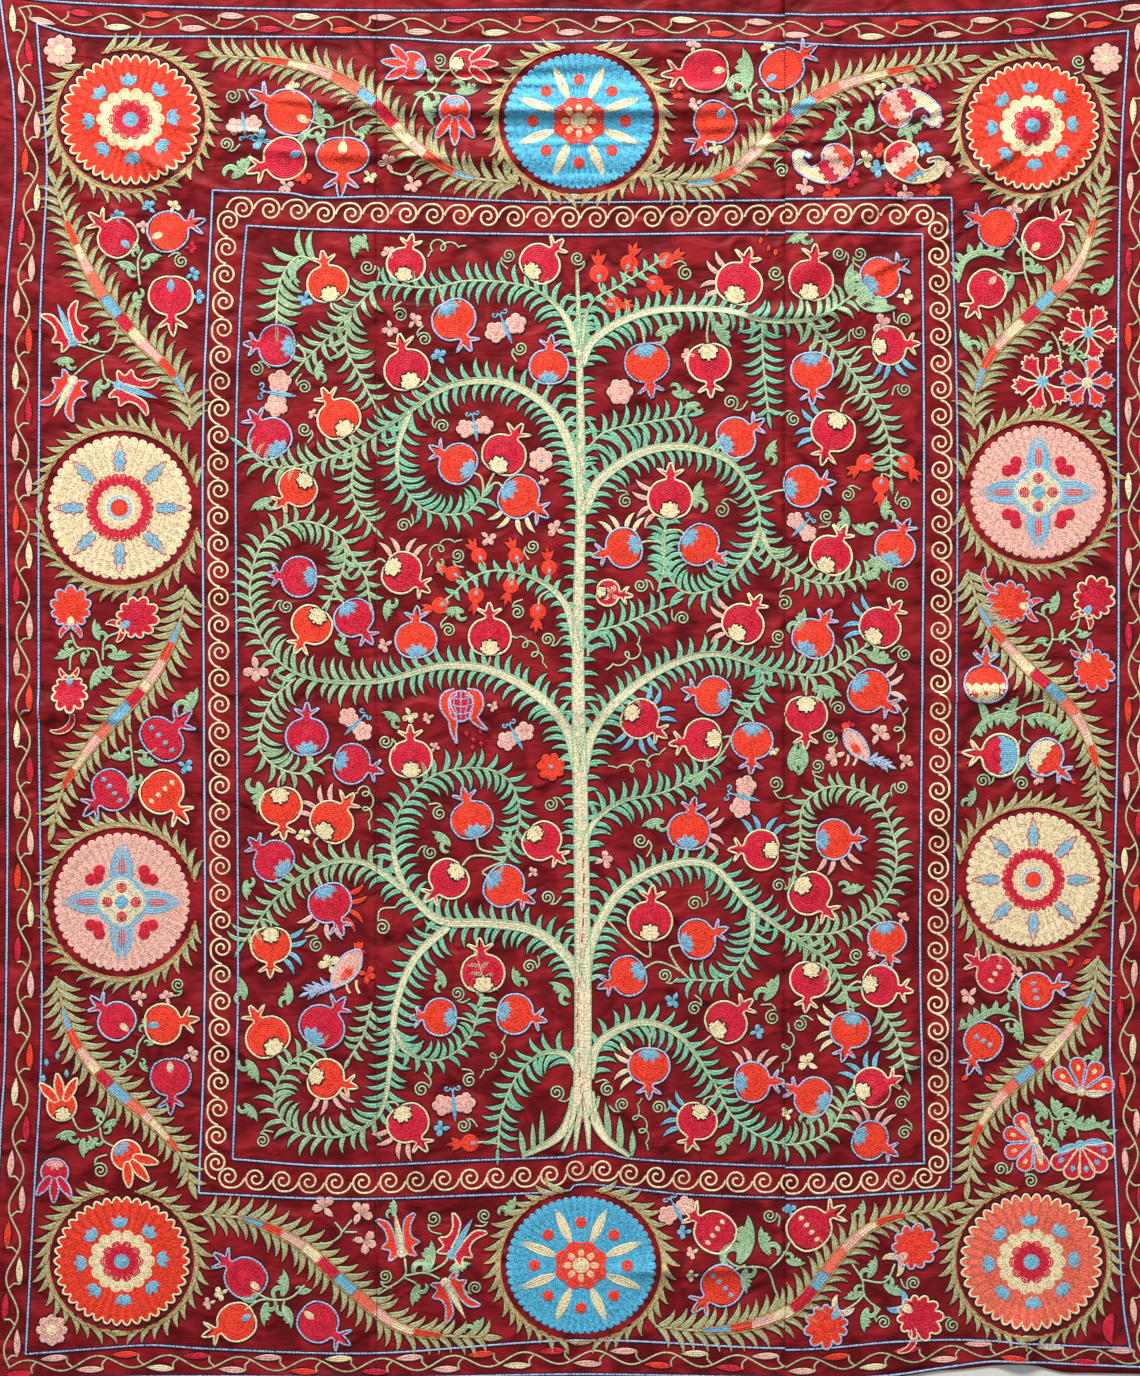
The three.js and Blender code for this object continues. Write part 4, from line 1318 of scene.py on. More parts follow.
def palmette(middle, direction, size, kind, heart, horns=None):
    """A scalloped fan with a heart at its foot and two hooks beneath it."""
    fill, outline = FRUIT_THREADS[kind][:2]

    def reach(angles):
        a = np.radians(np.asarray(angles, float) - direction)
        scallops = 0.64 + 0.36 * np.abs(np.cos(5.5 * a)) ** 0.5
        return size * (0.76 + 0.4 * ((1 + np.cos(a)) / 2) ** 2) * scallops

    foot = middle - heading(direction) * size * 0.6
    for side in (-1, 1):
        hook = bent_line(foot, direction + side * 100, size * 0.75, side * 80, 8)
        taper = size * 0.13 * swelling(9, 1.0, 0.7, (0, 0.98), (0.2, 1))
        strip(hook, taper, horns or fill, 0.1, edge=None if horns else outline)
    # A dark rim under the palmette: the drawn ink line and painted shade round it.
    contour(middle, reach, "ink", 5.0, -1, 1.6)
    rings(middle, reach, fill, step=2.6)
    contour(middle, reach, outline, 2.2, 1, 1.6)
    drop(foot - heading(direction) * size * 0.08, direction, size * 0.52, size * 0.34, heart, 1.2, 0.8, 5)


def carnation(middle, size, kind, heart, turn):
    """Five toothed petals that leave a gap where the stem comes in."""
    petal = [(0.14, 0.04), (0.5, 0.15), (0.76, 0.33), (0.80, 0.2), (0.98, 0.24), (0.9, 0.1), (1.08, 0)]
    for n in range(5):
        outlined(middle, turn + (n - 2) * 66, size, petal, *FRUIT_THREADS[kind][:2])
    rings(middle, disc(size * 0.21), heart, layer=1.4, step=2.6)


def lotus(base, directions, size, kind, thread):
    """Drop-shaped petals over two horns. The horns and the spot on each petal are in the same thread."""
    petal = [(0.1, 0.02), (0.42, 0.12), (0.76, 0.24), (0.96, 0.17), (1.02, 0)]
    for towards in directions:
        outlined(base, towards, size, petal, *FRUIT_THREADS[kind][:2])
        drop(base + heading(towards) * size * 0.6, towards, size * 0.24, size * 0.15, thread, 1.2, 0.8, 3)
    middle = (directions[0] + directions[-1]) / 2
    for side in (-1, 1):
        leaf(base, middle + side * 100, size * 0.85, size * 0.24, thread, -side * 46, 0.9, blunt=1.0,
             points=7, ink=False)
    rings(base, disc(size * 0.15), thread, layer=1.0, step=2.6)


def winged(middle, direction, kind):
    """A long body between two lobed wings, like a moth in flight."""
    fill, outline = FRUIT_THREADS[kind][:2]
    body = "sky" if kind == "red" else "cream"
    wing = [(-0.02, 0.08), (-0.16, 0.38), (0.08, 0.3), (0.2, 0.52), (0.36, 0.34), (0.64, 0.34), (0.98, 0.54),
            (0.86, 0.24), (0.5, 0.12), (0.2, 0.1)]
    for side in (-1, 1):
        patch(drawn(middle, direction, 37, [(a, l * side) for a, l in wing]), fill, direction, outline)
    drop(middle - heading(direction) * 3, direction, 44, 6.2, body, 1.2, 0.8, 8)
    rings(middle, disc(5.2), body, layer=1.0, step=2.6)


PAISLEY = [
    (-1.05, -0.35), (-0.35, -0.94), (0.65, -0.9), (1.5, -0.3), (2.08, 0.9), (1.78, 1.8), (1.28, 1.84),
    (0.9, 1.2), (1.1, 1.1), (1.24, 1.44), (1.44, 1.3), (1.3, 0.62), (0.6, 0.52), (0.36, 0.86), (-0.25, 1.08),
    (-0.95, 0.6),
]


def paisley(middle, direction, size, hand, threads, outline):
    """A drop in bands of colour with a hooked tail."""
    shape = drawn(middle, direction, size, [(a, l * hand) for a, l in PAISLEY], 2.2)
    ends = [middle @ heading(direction) + size * far for far in (-0.4, 0.35, 1.0, 1.35)[: len(threads) - 1]]
    patch(shape, list(zip(threads, ends + [1e6])), direction, outline)


def bloom(middle, direction, size, kind, heart):
    """A round body with three long parted petals."""
    fill, outline = FRUIT_THREADS[kind][:2]
    for turn, far in ((-36, 2.2), (0, 2.3), (36, 2.2)):
        prong = [(0.5, 0.18), (1.1, 0.3), (1.6, 0.28), (far, 0)]
        outlined(middle, direction + turn, size, prong, fill, outline, 0.2)
    body = disc(size)
    # A dark rim under the body: the drawn ink line and painted shade round it.
    contour(middle, body, "ink", 5.0, -1)
    rings(middle, body, fill, layer=0.4)
    contour(middle, body, outline, 2.3, start=direction + 50, end=direction + 310)
    cap(middle - heading(direction) * size * 0.9, direction, size * 0.9, heart)


def half_fruit(middle, direction, radius, upper, lower, outline, split):
    """A pomegranate in two colours that meet on a jagged line."""
    outer = drawn(middle, direction, radius, mirrored(BODY + [(1.0 + (a - 1.0) * 1.25, l) for a, l in CROWN]))
    # A flat dark row round the fruit: the drawn ink line and painted shade at its rim.
    row("ink", outer, 4.6, -1)
    rings(middle, fruit_reach(radius * 0.95, direction), upper)
    crown_point(middle, direction, radius, upper, 0, [(0.8, 0), (1.2, 0), (2.1, 0)], (0.5, 0.3, 0.1))
    for side in (-1, 1):
        crown_point(middle, direction, radius, upper, side, [(0.9, 0.1), (1.26, 0.3), (1.6, 0.55)])
    chord = [(s, 0.08 * (-1) ** n) for n, s in enumerate(np.linspace(-0.86, 0.86, 9))]
    arc = [(0.9 * math.cos(a), -0.9 * math.sin(a)) for a in np.linspace(0.05, math.pi - 0.05, 9)]
    patch(placed(middle, split, radius, chord + arc), lower, split + 90, None, 1.6, ink=False)
    row(outline, around(outer), 2.4, 2.0)


def comb_leaf(places, hand):
    """A long leaf with a row of lobes on one side."""
    line = smooth(route(*places), 3.0)
    strip(line, 3.4 * swelling(len(line), 0.8, 0.7, (0.04, 0.99)), "sage", 0.2)
    leaves_along(line, "sage", 13.0, 6.2, 9.0, 46, 44, sides=(hand,), taper=0.8, end_leaf=False,
                 end_share=0.92)


# %% Cut pomegranates, blooms and half fruit
BORDER_FRUIT = [
    (290, 113, 152, 22, 1.06, "orange", "cream"), (285, 159, 200, 21, 0.94, "red", "sky"),
    (343, 156, -90, 26, 0.66, "orange", "cream"), (705, 72, 185, 21, 1.06, "red", "cream"),
    (782, 71, 35, 20, 1.05, "orange", "sky"), (715, 123, 235, 21, 0.9, "orange", "sky"),
    (118, 238, 140, 20, 0.9, "red", "sky"), (168, 232, 22, 20, 0.95, "orange", "cream"),
    (171, 296, -90, 22, 0.84, "red", "sky"), (162, 739, 42, 24, 0.72, "dark", "sky", 4),
    (112, 790, 218, 21, 0.84, "dark", "sky", 4), (162, 792, -48, 22, 0.88, "pale", "cream", 4),
    (117, 1021, 140, 19, 0.9, "dark", "cream"), (163, 1024, 8, 20, 0.86, "pale", "sky"),
    (171, 1077, -86, 20, 0.88, "dark", "cream"), (998, 230, 155, 20, 0.9, "orange", "vermilion"),
    (1043, 240, 48, 20, 0.95, "red", "cream"), (987, 290, 235, 19, 0.9, "red", "rose"),
    (995, 973, 148, 19, 0.9, "pink", "cream", 3), (1035, 990, 12, 18, 0.95, "orange", "sky", 3),
    (983, 1040, 240, 19, 0.95, "orange", "sky", 3), (246, 1278, 140, 20, 1.0, "dark", "cream"),
    (237, 1322, 206, 19, 0.95, "pale", "sky"), (318, 1322, -38, 20, 0.95, "dark", "cream"),
    (715, 1232, 145, 20, 1.0, "red", "cream", 4), (722, 1285, 222, 21, 0.92, "orange", "sky", 4),
    (809, 1227, 36, 21, 1.0, "red", "cream", 4),
]


def border_fruit(middle, direction, radius, long, kind, heart, seeds=0):
    pomegranate(middle, direction, radius, kind, seeds=seeds, crown=1.3, heart=heart, long=long)


place_all(border_fruit, BORDER_FRUIT)
place_all(bloom, [
    (412, 66, 172, 13.5, "orange", "sky"), (465, 65, 0, 14.5, "red", "cream"),
    (455, 112, -90, 15, "orange", "sky"), (62, 1106, 98, 14.5, "pale", "cream"),
    (127, 1155, -50, 15, "pale", "sky"), (55, 1172, -92, 13.5, "dark", "rose"),
])
place_all(half_fruit, [
    (985, 684, 88, 21, "vermilion", "cream", "guard", 0), (1000, 755, 176, 21, "crimson", "sky", "cream", 92),
    (1045, 757, -42, 19, "vermilion", "cream", "guard", 236),
])

# %% Palmettes, carnations, lotus and the rest
def palmette_tail(middle, direction, thread, outline):
    tail = bent_line(middle - heading(direction) * 14, direction + 60, 34, -120, 10)
    strip(tail, 3.0 * swelling(11, 1.0, 0.7, span=(0.2, 0.97)), thread, 0.1, edge=outline)


place_all(palmette, [
    (71, 612, 90, 23, "orange", "cream"), (134, 620, 30, 23, "red", "sky"), (70, 690, -88, 20, "red", "sky"),
    (1014, 604, 165, 24, "orange", "cream"), (1092, 602, 62, 23, "red", "sky"),
    (1092, 667, -60, 23, "orange", "cream"), (911, 1248, 40, 25, "orange", "rose", "cream"),
    (829, 1321, 232, 24, "orange", "sky", "cream"),
    (916, 1313, -35, 25, "red", "cream", "sky"),
])
place_all(palmette_tail, [(62, 722, 216, "crimson", "cream"), (992, 580, 118, "vermilion", "guard"),
                          (905, 1338, 236, "crimson", "cream")])
place_all(carnation, [(1042, 383, 29, "red", "sky", 190), (1087, 384, 26, "orange", "cream", -60),
                      (1088, 334, 28, "red", "sky", 60)])
place_all(lotus, [
    (1081, 1090, (142, 98, 56, 14), 33, "orange", "cream"),
    (1034, 1140, (122, 163, 205, 246, 288), 31, "orange", "cream"),
    (1080, 1144, (-12, -45, -76, -108, -142), 34, "red", "sky"),
])
place_all(winged, [(73, 342, 112, "red"), (73, 381, -118, "orange"), (119, 386, -18, "red"),
                   (402, 1252, 100, "orange"), (452, 1254, 60, "red"), (446, 1282, -62, "orange")])
RED_DROP = ("vermilion", "rose", "crimson", "cream")
place_all(paisley, [(898, 110, 28, 17.5, -1, RED_DROP, "guard"), (835, 165, 215, 17, -1, RED_DROP, "guard"),
                    (902, 162, -52, 17, 1, ("crimson", "rose", "vermilion", "sky", "cream"), "cream")])
place_all(leaf, [(985, 724, 80, 26, 8, "sage", 60), (1056, 733, 20, 26, 8, "sage", 60),
                 (1014, 775, 80, 26, 8, "sage", -60)])

# %% Stems of the border
STEMS = [
    ((308, 120), (330, 128), (355, 118), (380, 108)), ((300, 145), (312, 130), (322, 127)),
    ((344, 140), (345, 122)), ((352, 120), (352, 130), (365, 138)),
    ((424, 68), (437, 83), (430, 92), (418, 100), (411, 118)), ((437, 83), (445, 74), (452, 70)),
    ((430, 93), (448, 96), (456, 104)), ((390, 172), (405, 175), (417, 165)),
    ((731, 80), (745, 88), (752, 112)), ((757, 84), (750, 93), (752, 110)),
    ((730, 112), (745, 105), (757, 114), (783, 118)), ((852, 155), (850, 135), (838, 118), (838, 104)),
    ((850, 130), (870, 135), (888, 126)), ((880, 135), (893, 145)),
    ((78, 345), (108, 352), (118, 330), (113, 320)), ((105, 355), (90, 362), (75, 375)),
    ((102, 360), (105, 378), (115, 384)), ((140, 285), (138, 262), (143, 250)),
    ((71, 633), (78, 648), (95, 650), (102, 668), (118, 683)), ((103, 660), (105, 640), (120, 632)),
    ((70, 670), (72, 655), (85, 648)), ((130, 735), (132, 755), (135, 780)),
    ((134, 752), (148, 753), (157, 748)), ((145, 1035), (138, 1045), (135, 1060), (115, 1075)),
    ((108, 1080), (108, 1105), (100, 1125), (80, 1130), (70, 1110)), ((100, 1127), (103, 1140), (115, 1147)),
    ((1050, 378), (1060, 365), (1058, 345), (1051, 333)), ((1058, 350), (1072, 355), (1085, 340)),
    ((1072, 355), (1083, 365), (1087, 375)), ((1012, 235), (1022, 250), (1025, 275), (1030, 290)),
    ((998, 270), (1012, 275), (1024, 274)), ((1035, 612), (1048, 620), (1052, 640), (1042, 660)),
    ((1052, 640), (1070, 640), (1080, 652)), ((1080, 615), (1075, 630), (1060, 640)),
    ((995, 708), (1010, 712), (1025, 705), (1045, 700)), ((1023, 715), (1022, 735), (1030, 742)),
    ((1020, 740), (1015, 755)), ((1005, 988), (1018, 1000), (1020, 1015), (1023, 1038)),
    ((1000, 1020), (1012, 1018), (1020, 1024)), ((1080, 1098), (1075, 1112), (1055, 1118), (1048, 1108)),
    ((1043, 1145), (1052, 1130), (1050, 1112), (1040, 1103)), ((1078, 1136), (1074, 1124), (1062, 1116)),
    ((252, 1290), (270, 1299), (290, 1298), (305, 1285)), ((285, 1298), (283, 1312), (292, 1322)),
    ((245, 1310), (260, 1300), (275, 1300)), ((335, 1222), (342, 1233), (330, 1243), (320, 1243)),
    ((342, 1232), (352, 1220)), ((345, 1232), (357, 1232)),
    ((405, 1258), (405, 1275), (385, 1290), (378, 1294)), ((405, 1275), (425, 1272), (440, 1278)),
    ((450, 1252), (445, 1262), (428, 1272)), ((405, 1277), (418, 1285), (415, 1300)),
    ((720, 1250), (735, 1265), (765, 1268), (775, 1290), (782, 1310)), ((733, 1270), (745, 1264)),
    ((790, 1240), (782, 1256), (770, 1268)), ((852, 1262), (862, 1278), (865, 1295), (880, 1308)),
    ((862, 1278), (885, 1280), (895, 1262)), ((865, 1292), (855, 1302), (845, 1308)),
]
for places in STEMS:
    line = smooth(route(*places), 4.0)
    # A dark row under the stem: the drawn ink line and painted shade beside it.
    row("ink", line, 3.6, -0.5)
    row("tendril", line, 2.1, 0.3)
    bough_lines.append(line)

# %% Broad leaves, curls and pips of the border
BORDER_LEAVES = [
    (324, 126, 100, 28, -1), (318, 132, -60, 18, 1), (356, 136, 20, 22, -1), (312, 130, 230, 20, 1),
    (232, 178, 60, 30, 1), (433, 84, 96, 16, -1), (426, 94, 200, 14, 1), (456, 92, 20, 30, 1),
    (428, 98, -70, 28, 1), (744, 90, 100, 40, 1), (748, 95, 180, 20, -1), (758, 100, -10, 26, 1),
    (866, 132, 92, 30, 1), (846, 128, 200, 28, -1), (898, 138, 20, 34, -1), (838, 118, 30, 14, 1),
    (136, 270, 170, 22, 1), (142, 262, 8, 24, -1), (138, 254, 120, 16, 1), (136, 292, -70, 20, 1),
    (74, 362, 190, 22, 1), (102, 380, -100, 24, 1), (94, 345, 80, 14, 1), (74, 648, 200, 22, -1),
    (84, 652, -80, 16, 1), (100, 640, 95, 22, -1), (108, 655, 10, 26, 1), (103, 668, -110, 28, 1),
    (104, 672, 40, 14, 1), (130, 756, 170, 22, -1), (138, 758, -10, 24, 1), (134, 776, -90, 24, 1),
    (184, 712, 70, 30, 1), (145, 1030, 100, 16, 1), (147, 1045, 40, 12, 1), (135, 1052, 190, 14, 1),
    (140, 1062, -40, 14, 1), (125, 1068, 120, 14, 1), (112, 1084, 60, 14, 1), (104, 1118, 150, 18, 1),
    (104, 1128, 20, 18, -1), (98, 1138, 240, 20, 1), (76, 1134, 200, 22, 1), (84, 1138, -80, 22, 1),
    (1025, 268, 0, 24, 1), (1012, 276, -120, 22, -1), (1023, 256, 95, 18, 1), (1052, 348, 190, 16, -1),
    (1070, 354, 90, 12, 1), (1072, 356, -80, 12, 1), (1078, 357, 10, 14, 1), (1098, 296, 60, 24, 1),
    (1100, 418, -40, 24, 1), (972, 352, 110, 26, -1), (1050, 614, 80, 26, 1), (1048, 640, 200, 16, 1),
    (1060, 642, 60, 16, -1), (1076, 636, 20, 16, 1), (1008, 712, 70, 22, 1), (1008, 710, -80, 22, 1),
    (968, 806, 80, 22, 1), (1016, 998, 100, 22, 1), (1014, 1022, -80, 26, -1), (1046, 1118, 130, 26, 1),
    (1064, 1118, 110, 26, -1), (1062, 1120, -80, 20, 1), (1090, 1064, 70, 26, 1), (1050, 1132, 180, 14, 1),
    (1050, 1136, -70, 20, -1), (282, 1296, 95, 26, 1), (298, 1292, 20, 16, 1), (268, 1302, -90, 26, 1),
    (284, 1306, -80, 24, -1), (256, 1300, 160, 18, -1), (393, 1216, 100, 20, 1), (424, 1272, 85, 34, 1),
    (420, 1284, -100, 24, 1), (450, 1270, 10, 24, -1), (470, 1334, 60, 22, 1), (505, 1215, 70, 22, 1),
    (738, 1262, 86, 48, 1), (746, 1268, -80, 26, 1), (770, 1254, 100, 32, -1), (786, 1258, 0, 20, 1),
    (868, 1276, 80, 26, 1), (862, 1290, 190, 22, -1), (868, 1306, -90, 26, 1), (884, 1282, -20, 26, 1),
    (860, 1216, 90, 20, 1),
]
place_all(broad_leaf, BORDER_LEAVES)
COMBS = [
    (((958, 284), (964, 262), (984, 254), (1006, 262)), 1),
    (((958, 1028), (972, 1022), (994, 1010), (1016, 1016)), 1),
    (((1020, 718), (1002, 714), (984, 722), (970, 738)), 1),
    (((1024, 718), (1042, 716), (1058, 724), (1068, 740)), -1),
    (((1064, 1120), (1084, 1126), (1100, 1124), (1112, 1138)), 1),
]
for places, hand in COMBS:
    comb_leaf(places, hand)
BORDER_PIPS = [
    (293, 89, 100, 8, "cream"), (263, 141, 160, 12, "sky"), (303, 175, -80, 10, "vermilion"),
    (285, 185, -60, 9, "rose"), (369, 176, -60, 8, "cream"), (388, 165, 110, 10, "rose"),
    (412, 183, -70, 10, "rose"), (693, 48, 80, 8, "rose"), (678, 93, 240, 8, "vermilion"),
    (696, 105, 200, 8, "rose"), (715, 147, -80, 8, "cream"), (768, 50, 110, 8, "cream"),
    (905, 85, 80, 10, "rose"), (882, 93, 140, 8, "cream"), (928, 87, 60, 9, "crimson"),
    (935, 122, -60, 9, "rose"), (863, 162, 20, 10, "cream"), (805, 187, -100, 10, "rose"),
    (830, 192, -70, 10, "vermilion"), (850, 180, -20, 10, "crimson"), (882, 153, 170, 9, "vermilion"),
    (880, 170, 190, 10, "sky"), (923, 152, 60, 9, "sky"), (945, 172, 10, 9, "rose"),
    (892, 190, 220, 9, "crimson"), (905, 194, -90, 9, "rose"), (932, 190, -50, 9, "vermilion"),
    (118, 218, 100, 8, "sky"), (150, 208, 120, 8, "sky"), (173, 208, 60, 8, "cream"),
    (143, 228, 90, 7, "rose"), (190, 248, 0, 7, "crimson"), (192, 275, 20, 8, "sky"), (197, 297, 0, 8, "sky"),
    (167, 998, 100, 8, "rose"), (190, 1055, 20, 9, "rose"), (1014, 214, 80, 9, "rose"),
    (1037, 777, -40, 8, "rose"), (1015, 972, 40, 8, "rose"), (970, 994, 220, 10, "rose"),
    (222, 1293, 200, 8, "cream"), (210, 1303, 190, 7, "rose"), (685, 1232, 180, 8, "sky"),
    (693, 1252, 200, 7, "rose"), (693, 1275, 180, 7, "cream"), (790, 1210, 110, 8, "sky"),
    (325, 1208, 120, 13, "rose"), (360, 1214, 50, 13, "rose"), (364, 1241, -20, 13, "rose"),
]
place_all(pip, BORDER_PIPS)
for across, down in ((47, 1062), (58, 1055), (67, 1073), (44, 1078)):
    leaf(at(across, down + 4), 95, 8, 4.6, "sky", 0, points=3)
SEEDS = [(1068, 966, 60), (1083, 963, 30), (1070, 985, -20), (968, 1074, 220), (985, 1075, -40)]
for across, down, towards in SEEDS:
    leaf(at(across, down), towards, 9, 5.0, "vermilion", 0, points=3)
for across, down in ((60, 51), (1106, 61), (52, 1330)):
    blossom(at(across, down), 0, 16, "rose", 8, None)
    rings(at(across, down), disc(5.5), "cream", layer=1.0, step=2.6)
leaf(at(1112, 1312), 240, 32, 11, "crimson", 60)
print("with the border's flowers:", len(stitched), "rows")

# %% [markdown]
# ## Filling the gaps
# The embroiderer leaves no empty ground, so the last motifs go wherever there is room. The rows so far are
# marked on a coarse grid, in the field and in the border but not on the bands between them. The widest free
# spot is found, and it gets a curl, a pip or a broad leaf that fits, until no wide spot is left.

# %% Find the free ground
CELL = 3.0
MOST_FILLERS, LEAST_ROOM, MOST_ROOM = 110, 4, 12
FIELD = (246, 914, 244, 1150)  # left, right, top and bottom
FIELD_AND_FRAME = (194, 962, 186, 1204)
BORDER = (62, 1106, 50, 1334)
GRID_LOW = at(0, CHART_SIZE[1])
taken = np.zeros((int(CHART_SIZE[0] / CELL), int(CHART_SIZE[1] / CELL)), bool)
spots = np.vstack([spaced(one.line, 2.0) for one in stitched if len(one.line) > 1])
cells = ((spots - GRID_LOW) / CELL).astype(int)
cells = cells[((cells >= 0) & (cells < taken.shape)).all(axis=1)]
taken[cells[:, 0], cells[:, 1]] = True
across = (np.arange(taken.shape[0]) + 0.5) * CELL
down = CHART_SIZE[1] - (np.arange(taken.shape[1]) + 0.5) * CELL


def within(left, right, top, bottom):
    """The cells of the grid that lie inside a box on the chart."""
    return ((across > left) & (across < right))[:, None] & ((down > top) & (down < bottom))[None, :]


taken |= ~(within(*FIELD) | (within(*BORDER) & ~within(*FIELD_AND_FRAME)))


def free_radius(marks):
    """How many cells each place is from the nearest mark, up to MOST_ROOM."""
    room = np.zeros(marks.shape, int)
    grown = marks.copy()
    for n in range(MOST_ROOM):
        room += ~grown
        wider = grown.copy()
        wider[1:] |= grown[:-1]
        wider[:-1] |= grown[1:]
        wider[:, 1:] |= grown[:, :-1]
        wider[:, :-1] |= grown[:, 1:]
        if n % 2:
            wider[1:, 1:] |= grown[:-1, :-1]
            wider[:-1, :-1] |= grown[1:, 1:]
            wider[1:, :-1] |= grown[:-1, 1:]
            wider[:-1, 1:] |= grown[1:, :-1]
        grown = wider
    return room


# %% Fill it
room = free_radius(taken)
added = 0
cell_places = np.stack(np.meshgrid(across, down, indexing="ij"), axis=-1)
stem_points = np.vstack(bough_lines)
while added < MOST_FILLERS and room.max() >= LEAST_ROOM:
    i, j = np.unravel_index(np.argmax(room + 0.3 * chance.random(room.shape)), room.shape)
    radius = room[i, j] * CELL * 0.92
    middle = at(*cell_places[i, j])
    nearest = stem_points[np.argmin(np.linalg.norm(stem_points - middle, axis=1))]
    outwards = math.degrees(math.atan2(*(middle - nearest)[::-1]))
    hand = 1 if added % 2 else -1
    if radius > 14 and added % 3:
        foot = middle - heading(outwards) * radius * 0.8
        broad_leaf(foot, outwards - 25 * hand, min(radius * 1.5, 26), hand)
    elif added % 9 == 4:
        pip(middle, outwards, radius * 0.8, ("rose", "cream", "sky")[added // 9 % 3])
    else:
        foot = middle - heading(outwards) * radius * 1.25
        start = outwards + 180 - 70 * hand
        bow = (foot + middle + heading(start) * radius * 0.62) / 2
        bow = bow + heading(outwards + 90) * hand * radius * 0.3
        curl(middle, min(radius * 0.66, 8), start, hand, 1.8, lead=[foot, bow], width=1.7)
    near = np.hypot(cell_places[..., 0] - cell_places[i, j, 0], cell_places[..., 1] - cell_places[i, j, 1])
    room[near < radius * 1.9] = 0
    added += 1
print("gaps filled:", added, "and now", len(stitched), "rows")

# %% [markdown]
# ## From rows to meshes
# Every row becomes a ribbon with three points across: its two edges just above the cloth and its crest up
# to 0.9 mm higher. A flat row has its two edges alone. Rows of a higher layer start higher up, so what is
# sewn last lies on top. The rows are cut at the seams, where the widths were embroidered apart. The right
# width was joined a little askew, so its lines don't quite meet the middle's. All rows of one thread on one
# panel are joined into one mesh, straight from arrays.

# %% Cut at the seams
PANEL_NAMES = list(PANELS)
FAR_OUT = 620.0
PANEL_ENDS = [(-FAR_OUT, SEAMS[0]), SEAMS, (SEAMS[1], FAR_OUT)]
SEAM_ALLOWANCE = 0.2
STITCHES_PER_UNIT = UNIT / 0.0040
# The first height lifts the rows below layer 0: the dark ink rows of drawn line and painted shade, and the
# guard lines' navy edges.
UNDER_ROW_BASE, BASE, LAYER_STEP, CREST = 0.00028, 0.00038, 0.00055, 0.0009


def cut_at_seams(one):
    """The row's pieces, each with the number of its panel."""
    line, width = one.line, one.width
    for seam in SEAMS:
        side = line[:, 0] > seam
        crossings = np.flatnonzero(side[1:] != side[:-1])
        if len(crossings):
            a, b = line[crossings], line[crossings + 1]
            t = ((seam - a[:, 0]) / (b[:, 0] - a[:, 0]))[:, None]
            meet = a + (b - a) * t
            line = np.insert(line, np.repeat(crossings + 1, 2), np.repeat(meet, 2, axis=0), axis=0)
            width = np.insert(width, np.repeat(crossings + 1, 2), np.repeat(width[crossings], 2))
    middles = (line[1:, 0] + line[:-1, 0]) / 2
    panel = np.searchsorted(SEAMS, middles)
    starts = np.concatenate([[0], np.flatnonzero(np.diff(panel)) + 1, [len(panel)]])
    for a, b in zip(starts, starts[1:]):
        yield panel[a], line[a : b + 1], width[a : b + 1]


def ribbon(line, width, layer, panel, flat):
    """Points, heights, UVs and faces of one row."""
    side = sideways(line) * (width / 2)[:, None]
    count = 2 if flat else 3
    across = np.stack([line - side, line + side] if flat else [line - side, line, line + side], axis=1)
    low, high = PANEL_ENDS[panel]
    across[:, :, 0] = np.clip(across[:, :, 0], low + SEAM_ALLOWANCE, high - SEAM_ALLOWANCE)
    run = np.concatenate([[0], np.cumsum(np.linalg.norm(np.diff(line, axis=0), axis=1))])
    run = run * STITCHES_PER_UNIT + chance.random()
    base = UNDER_ROW_BASE if layer < 0 else BASE + layer * LAYER_STEP
    profile = np.full(2, base) if flat else np.array([base, base + CREST, base])
    thin = 0.4 + 0.6 * np.minimum(width, ROW_WIDTH) / ROW_WIDTH
    rise = np.broadcast_to(profile, (len(line), count)) * (1 if flat else thin[:, None])
    stops = (0.5, 0.5) if flat else (0.0, 0.5, 1.0)
    uv = np.stack([np.stack([run, np.full(len(run), v)], 1) for v in stops], axis=1)
    index = np.arange(len(line) * count).reshape(-1, count)
    a, b = index[:-1], index[1:]
    faces = [np.stack([a[:, k], b[:, k], b[:, k + 1], a[:, k + 1]], axis=1) for k in range(count - 1)]
    return across.reshape(-1, 2), rise.reshape(-1), uv.reshape(-1, 2), np.concatenate(faces)


# %% Join the rows of each thread
JOINED_ASKEW = 1.8 / 650
LEAST_RUN = 0.6
batches = {}
for one in stitched:
    if len(one.line) < 2:
        continue
    for panel, line, width in cut_at_seams(one):
        if len(line) < 2 or np.linalg.norm(np.diff(line, axis=0), axis=1).sum() < LEAST_RUN:
            continue
        made = ribbon(line, width, one.layer, panel, one.flat)
        batches.setdefault((one.thread, panel), []).append(made)


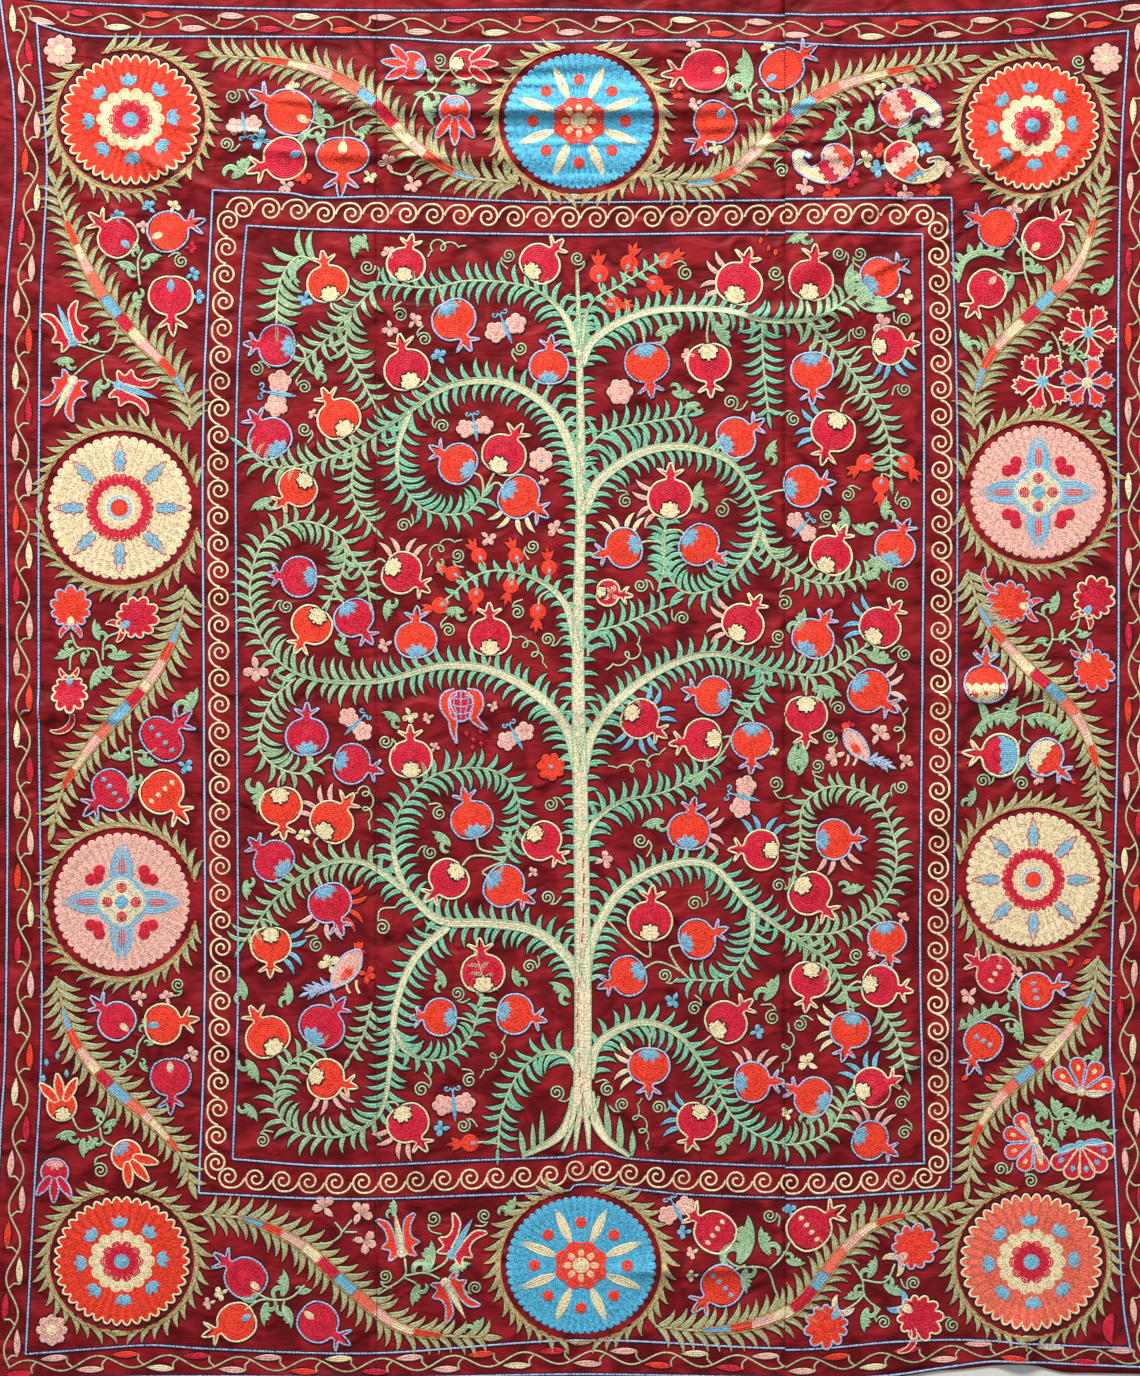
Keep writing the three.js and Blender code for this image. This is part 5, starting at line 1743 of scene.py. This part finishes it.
def thread_mesh(thread, panel, ribbons):
    name = f"{PANEL_NAMES[panel]}_{thread}_stitches"
    places, rises, uvs, quads = zip(*ribbons)
    counts = np.array([len(one) for one in places])
    flat = np.concatenate(places)
    if panel == 2:
        flat = flat + flat[:, 1:] * (0, JOINED_ASKEW)
    flat = flat * UNIT
    rise, uv = np.concatenate(rises), np.concatenate(uvs)
    firsts = np.repeat(np.cumsum(counts) - counts, [len(one) for one in quads])
    faces = np.concatenate(quads) + firsts[:, None]
    points = np.column_stack([flat, lift(flat[:, 0], flat[:, 1]) + SHEET + rise])
    mesh = bpy.data.meshes.new(name)
    mesh.vertices.add(len(points))
    mesh.vertices.foreach_set("co", points.ravel())
    mesh.loops.add(faces.size)
    mesh.loops.foreach_set("vertex_index", faces.ravel())
    mesh.polygons.add(len(faces))
    mesh.polygons.foreach_set("loop_start", np.arange(len(faces)) * 4)
    mesh.polygons.foreach_set("use_smooth", np.ones(len(faces), bool))
    mesh.update(calc_edges=True)
    mesh.uv_layers.new(name="rows").data.foreach_set("uv", uv[faces.ravel()].ravel())
    shades = np.repeat(0.1 * chance.standard_normal(len(ribbons)) - 0.7, counts)
    mesh.attributes.new("shade", "FLOAT", "POINT").data.foreach_set("value", shades)
    mesh.materials.append(MATERIALS[thread])
    mesh.validate()
    piece = bpy.data.objects.new(name, mesh)
    bpy.context.collection.objects.link(piece)
    return piece


pieces = {key: thread_mesh(*key, ribbons) for key, ribbons in batches.items()}
triangles = [2 * len(piece.data.polygons) for piece in pieces.values()]
print("stitches:", len(pieces), "pieces,", sum(triangles), "triangles, most", max(triangles))

# %% [markdown]
# ## Floor and light
# A plain pale floor, and soft studio light. The main light stands beyond the top edge and low, so the folds
# show and the cloth is a little brighter at its top.

# %% Floor
bpy.ops.mesh.primitive_plane_add(size=8, location=(0, 0, -0.0005))
floor = bpy.context.object
floor.name = "floor"
floor.select_set(False)
pale = new_material("pale_matt_floor")
grain = add(pale, "ShaderNodeTexNoise", Vector=add(pale, "ShaderNodeTexCoord").outputs["Object"], Scale=30.0)
tint = add(pale, "ShaderNodeMix", {"data_type": "RGBA"}, Factor=grain.outputs[0])
tint.inputs[6].default_value = colour("#D9D7D3")
tint.inputs[7].default_value = colour("#E2E0DC")
matt = add(pale, "ShaderNodeBsdfPrincipled", Base_Color=tint.outputs[2], Roughness=0.8)
add(pale, "ShaderNodeOutputMaterial", Surface=matt.outputs[0])
floor.data.materials.append(pale)

# %% Lights
def soft_light(name, place, size, watts, hex_code="#FFFFFF"):
    data = bpy.data.lights.new(name, "AREA")
    data.size, data.energy, data.color = size, watts, colour(hex_code)[:3]
    lamp = bpy.data.objects.new(name, data)
    lamp.location = place
    away = math.hypot(place[0], place[1])
    lamp.rotation_euler = (math.atan2(away, place[2]), 0, math.atan2(place[0], -place[1]))
    bpy.context.collection.objects.link(lamp)


soft_light("key", (-0.9, 5.2, 2.8), 1.5, 610, "#FFFDF8")
soft_light("fill", (1.4, -1.6, 2.6), 2.4, 10, "#F4F7FF")
world = bpy.data.worlds.new("studio")
world.use_nodes = True
world.node_tree.nodes["Background"].inputs[0].default_value = colour("#F5F5F5")
world.node_tree.nodes["Background"].inputs[1].default_value = 0.33
bpy.context.scene.world = world

# %% [markdown]
# ## Put it together
# The three silk panels stand for the three solid ones, and every row of stitches rides with them.

for number, (name, sheet) in enumerate(PANELS.items()):
    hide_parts(name)
    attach(sheet, "root")
    on_it = [piece for (thread, panel), piece in pieces.items() if panel == number]
    for piece in on_it:
        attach(piece, "root")
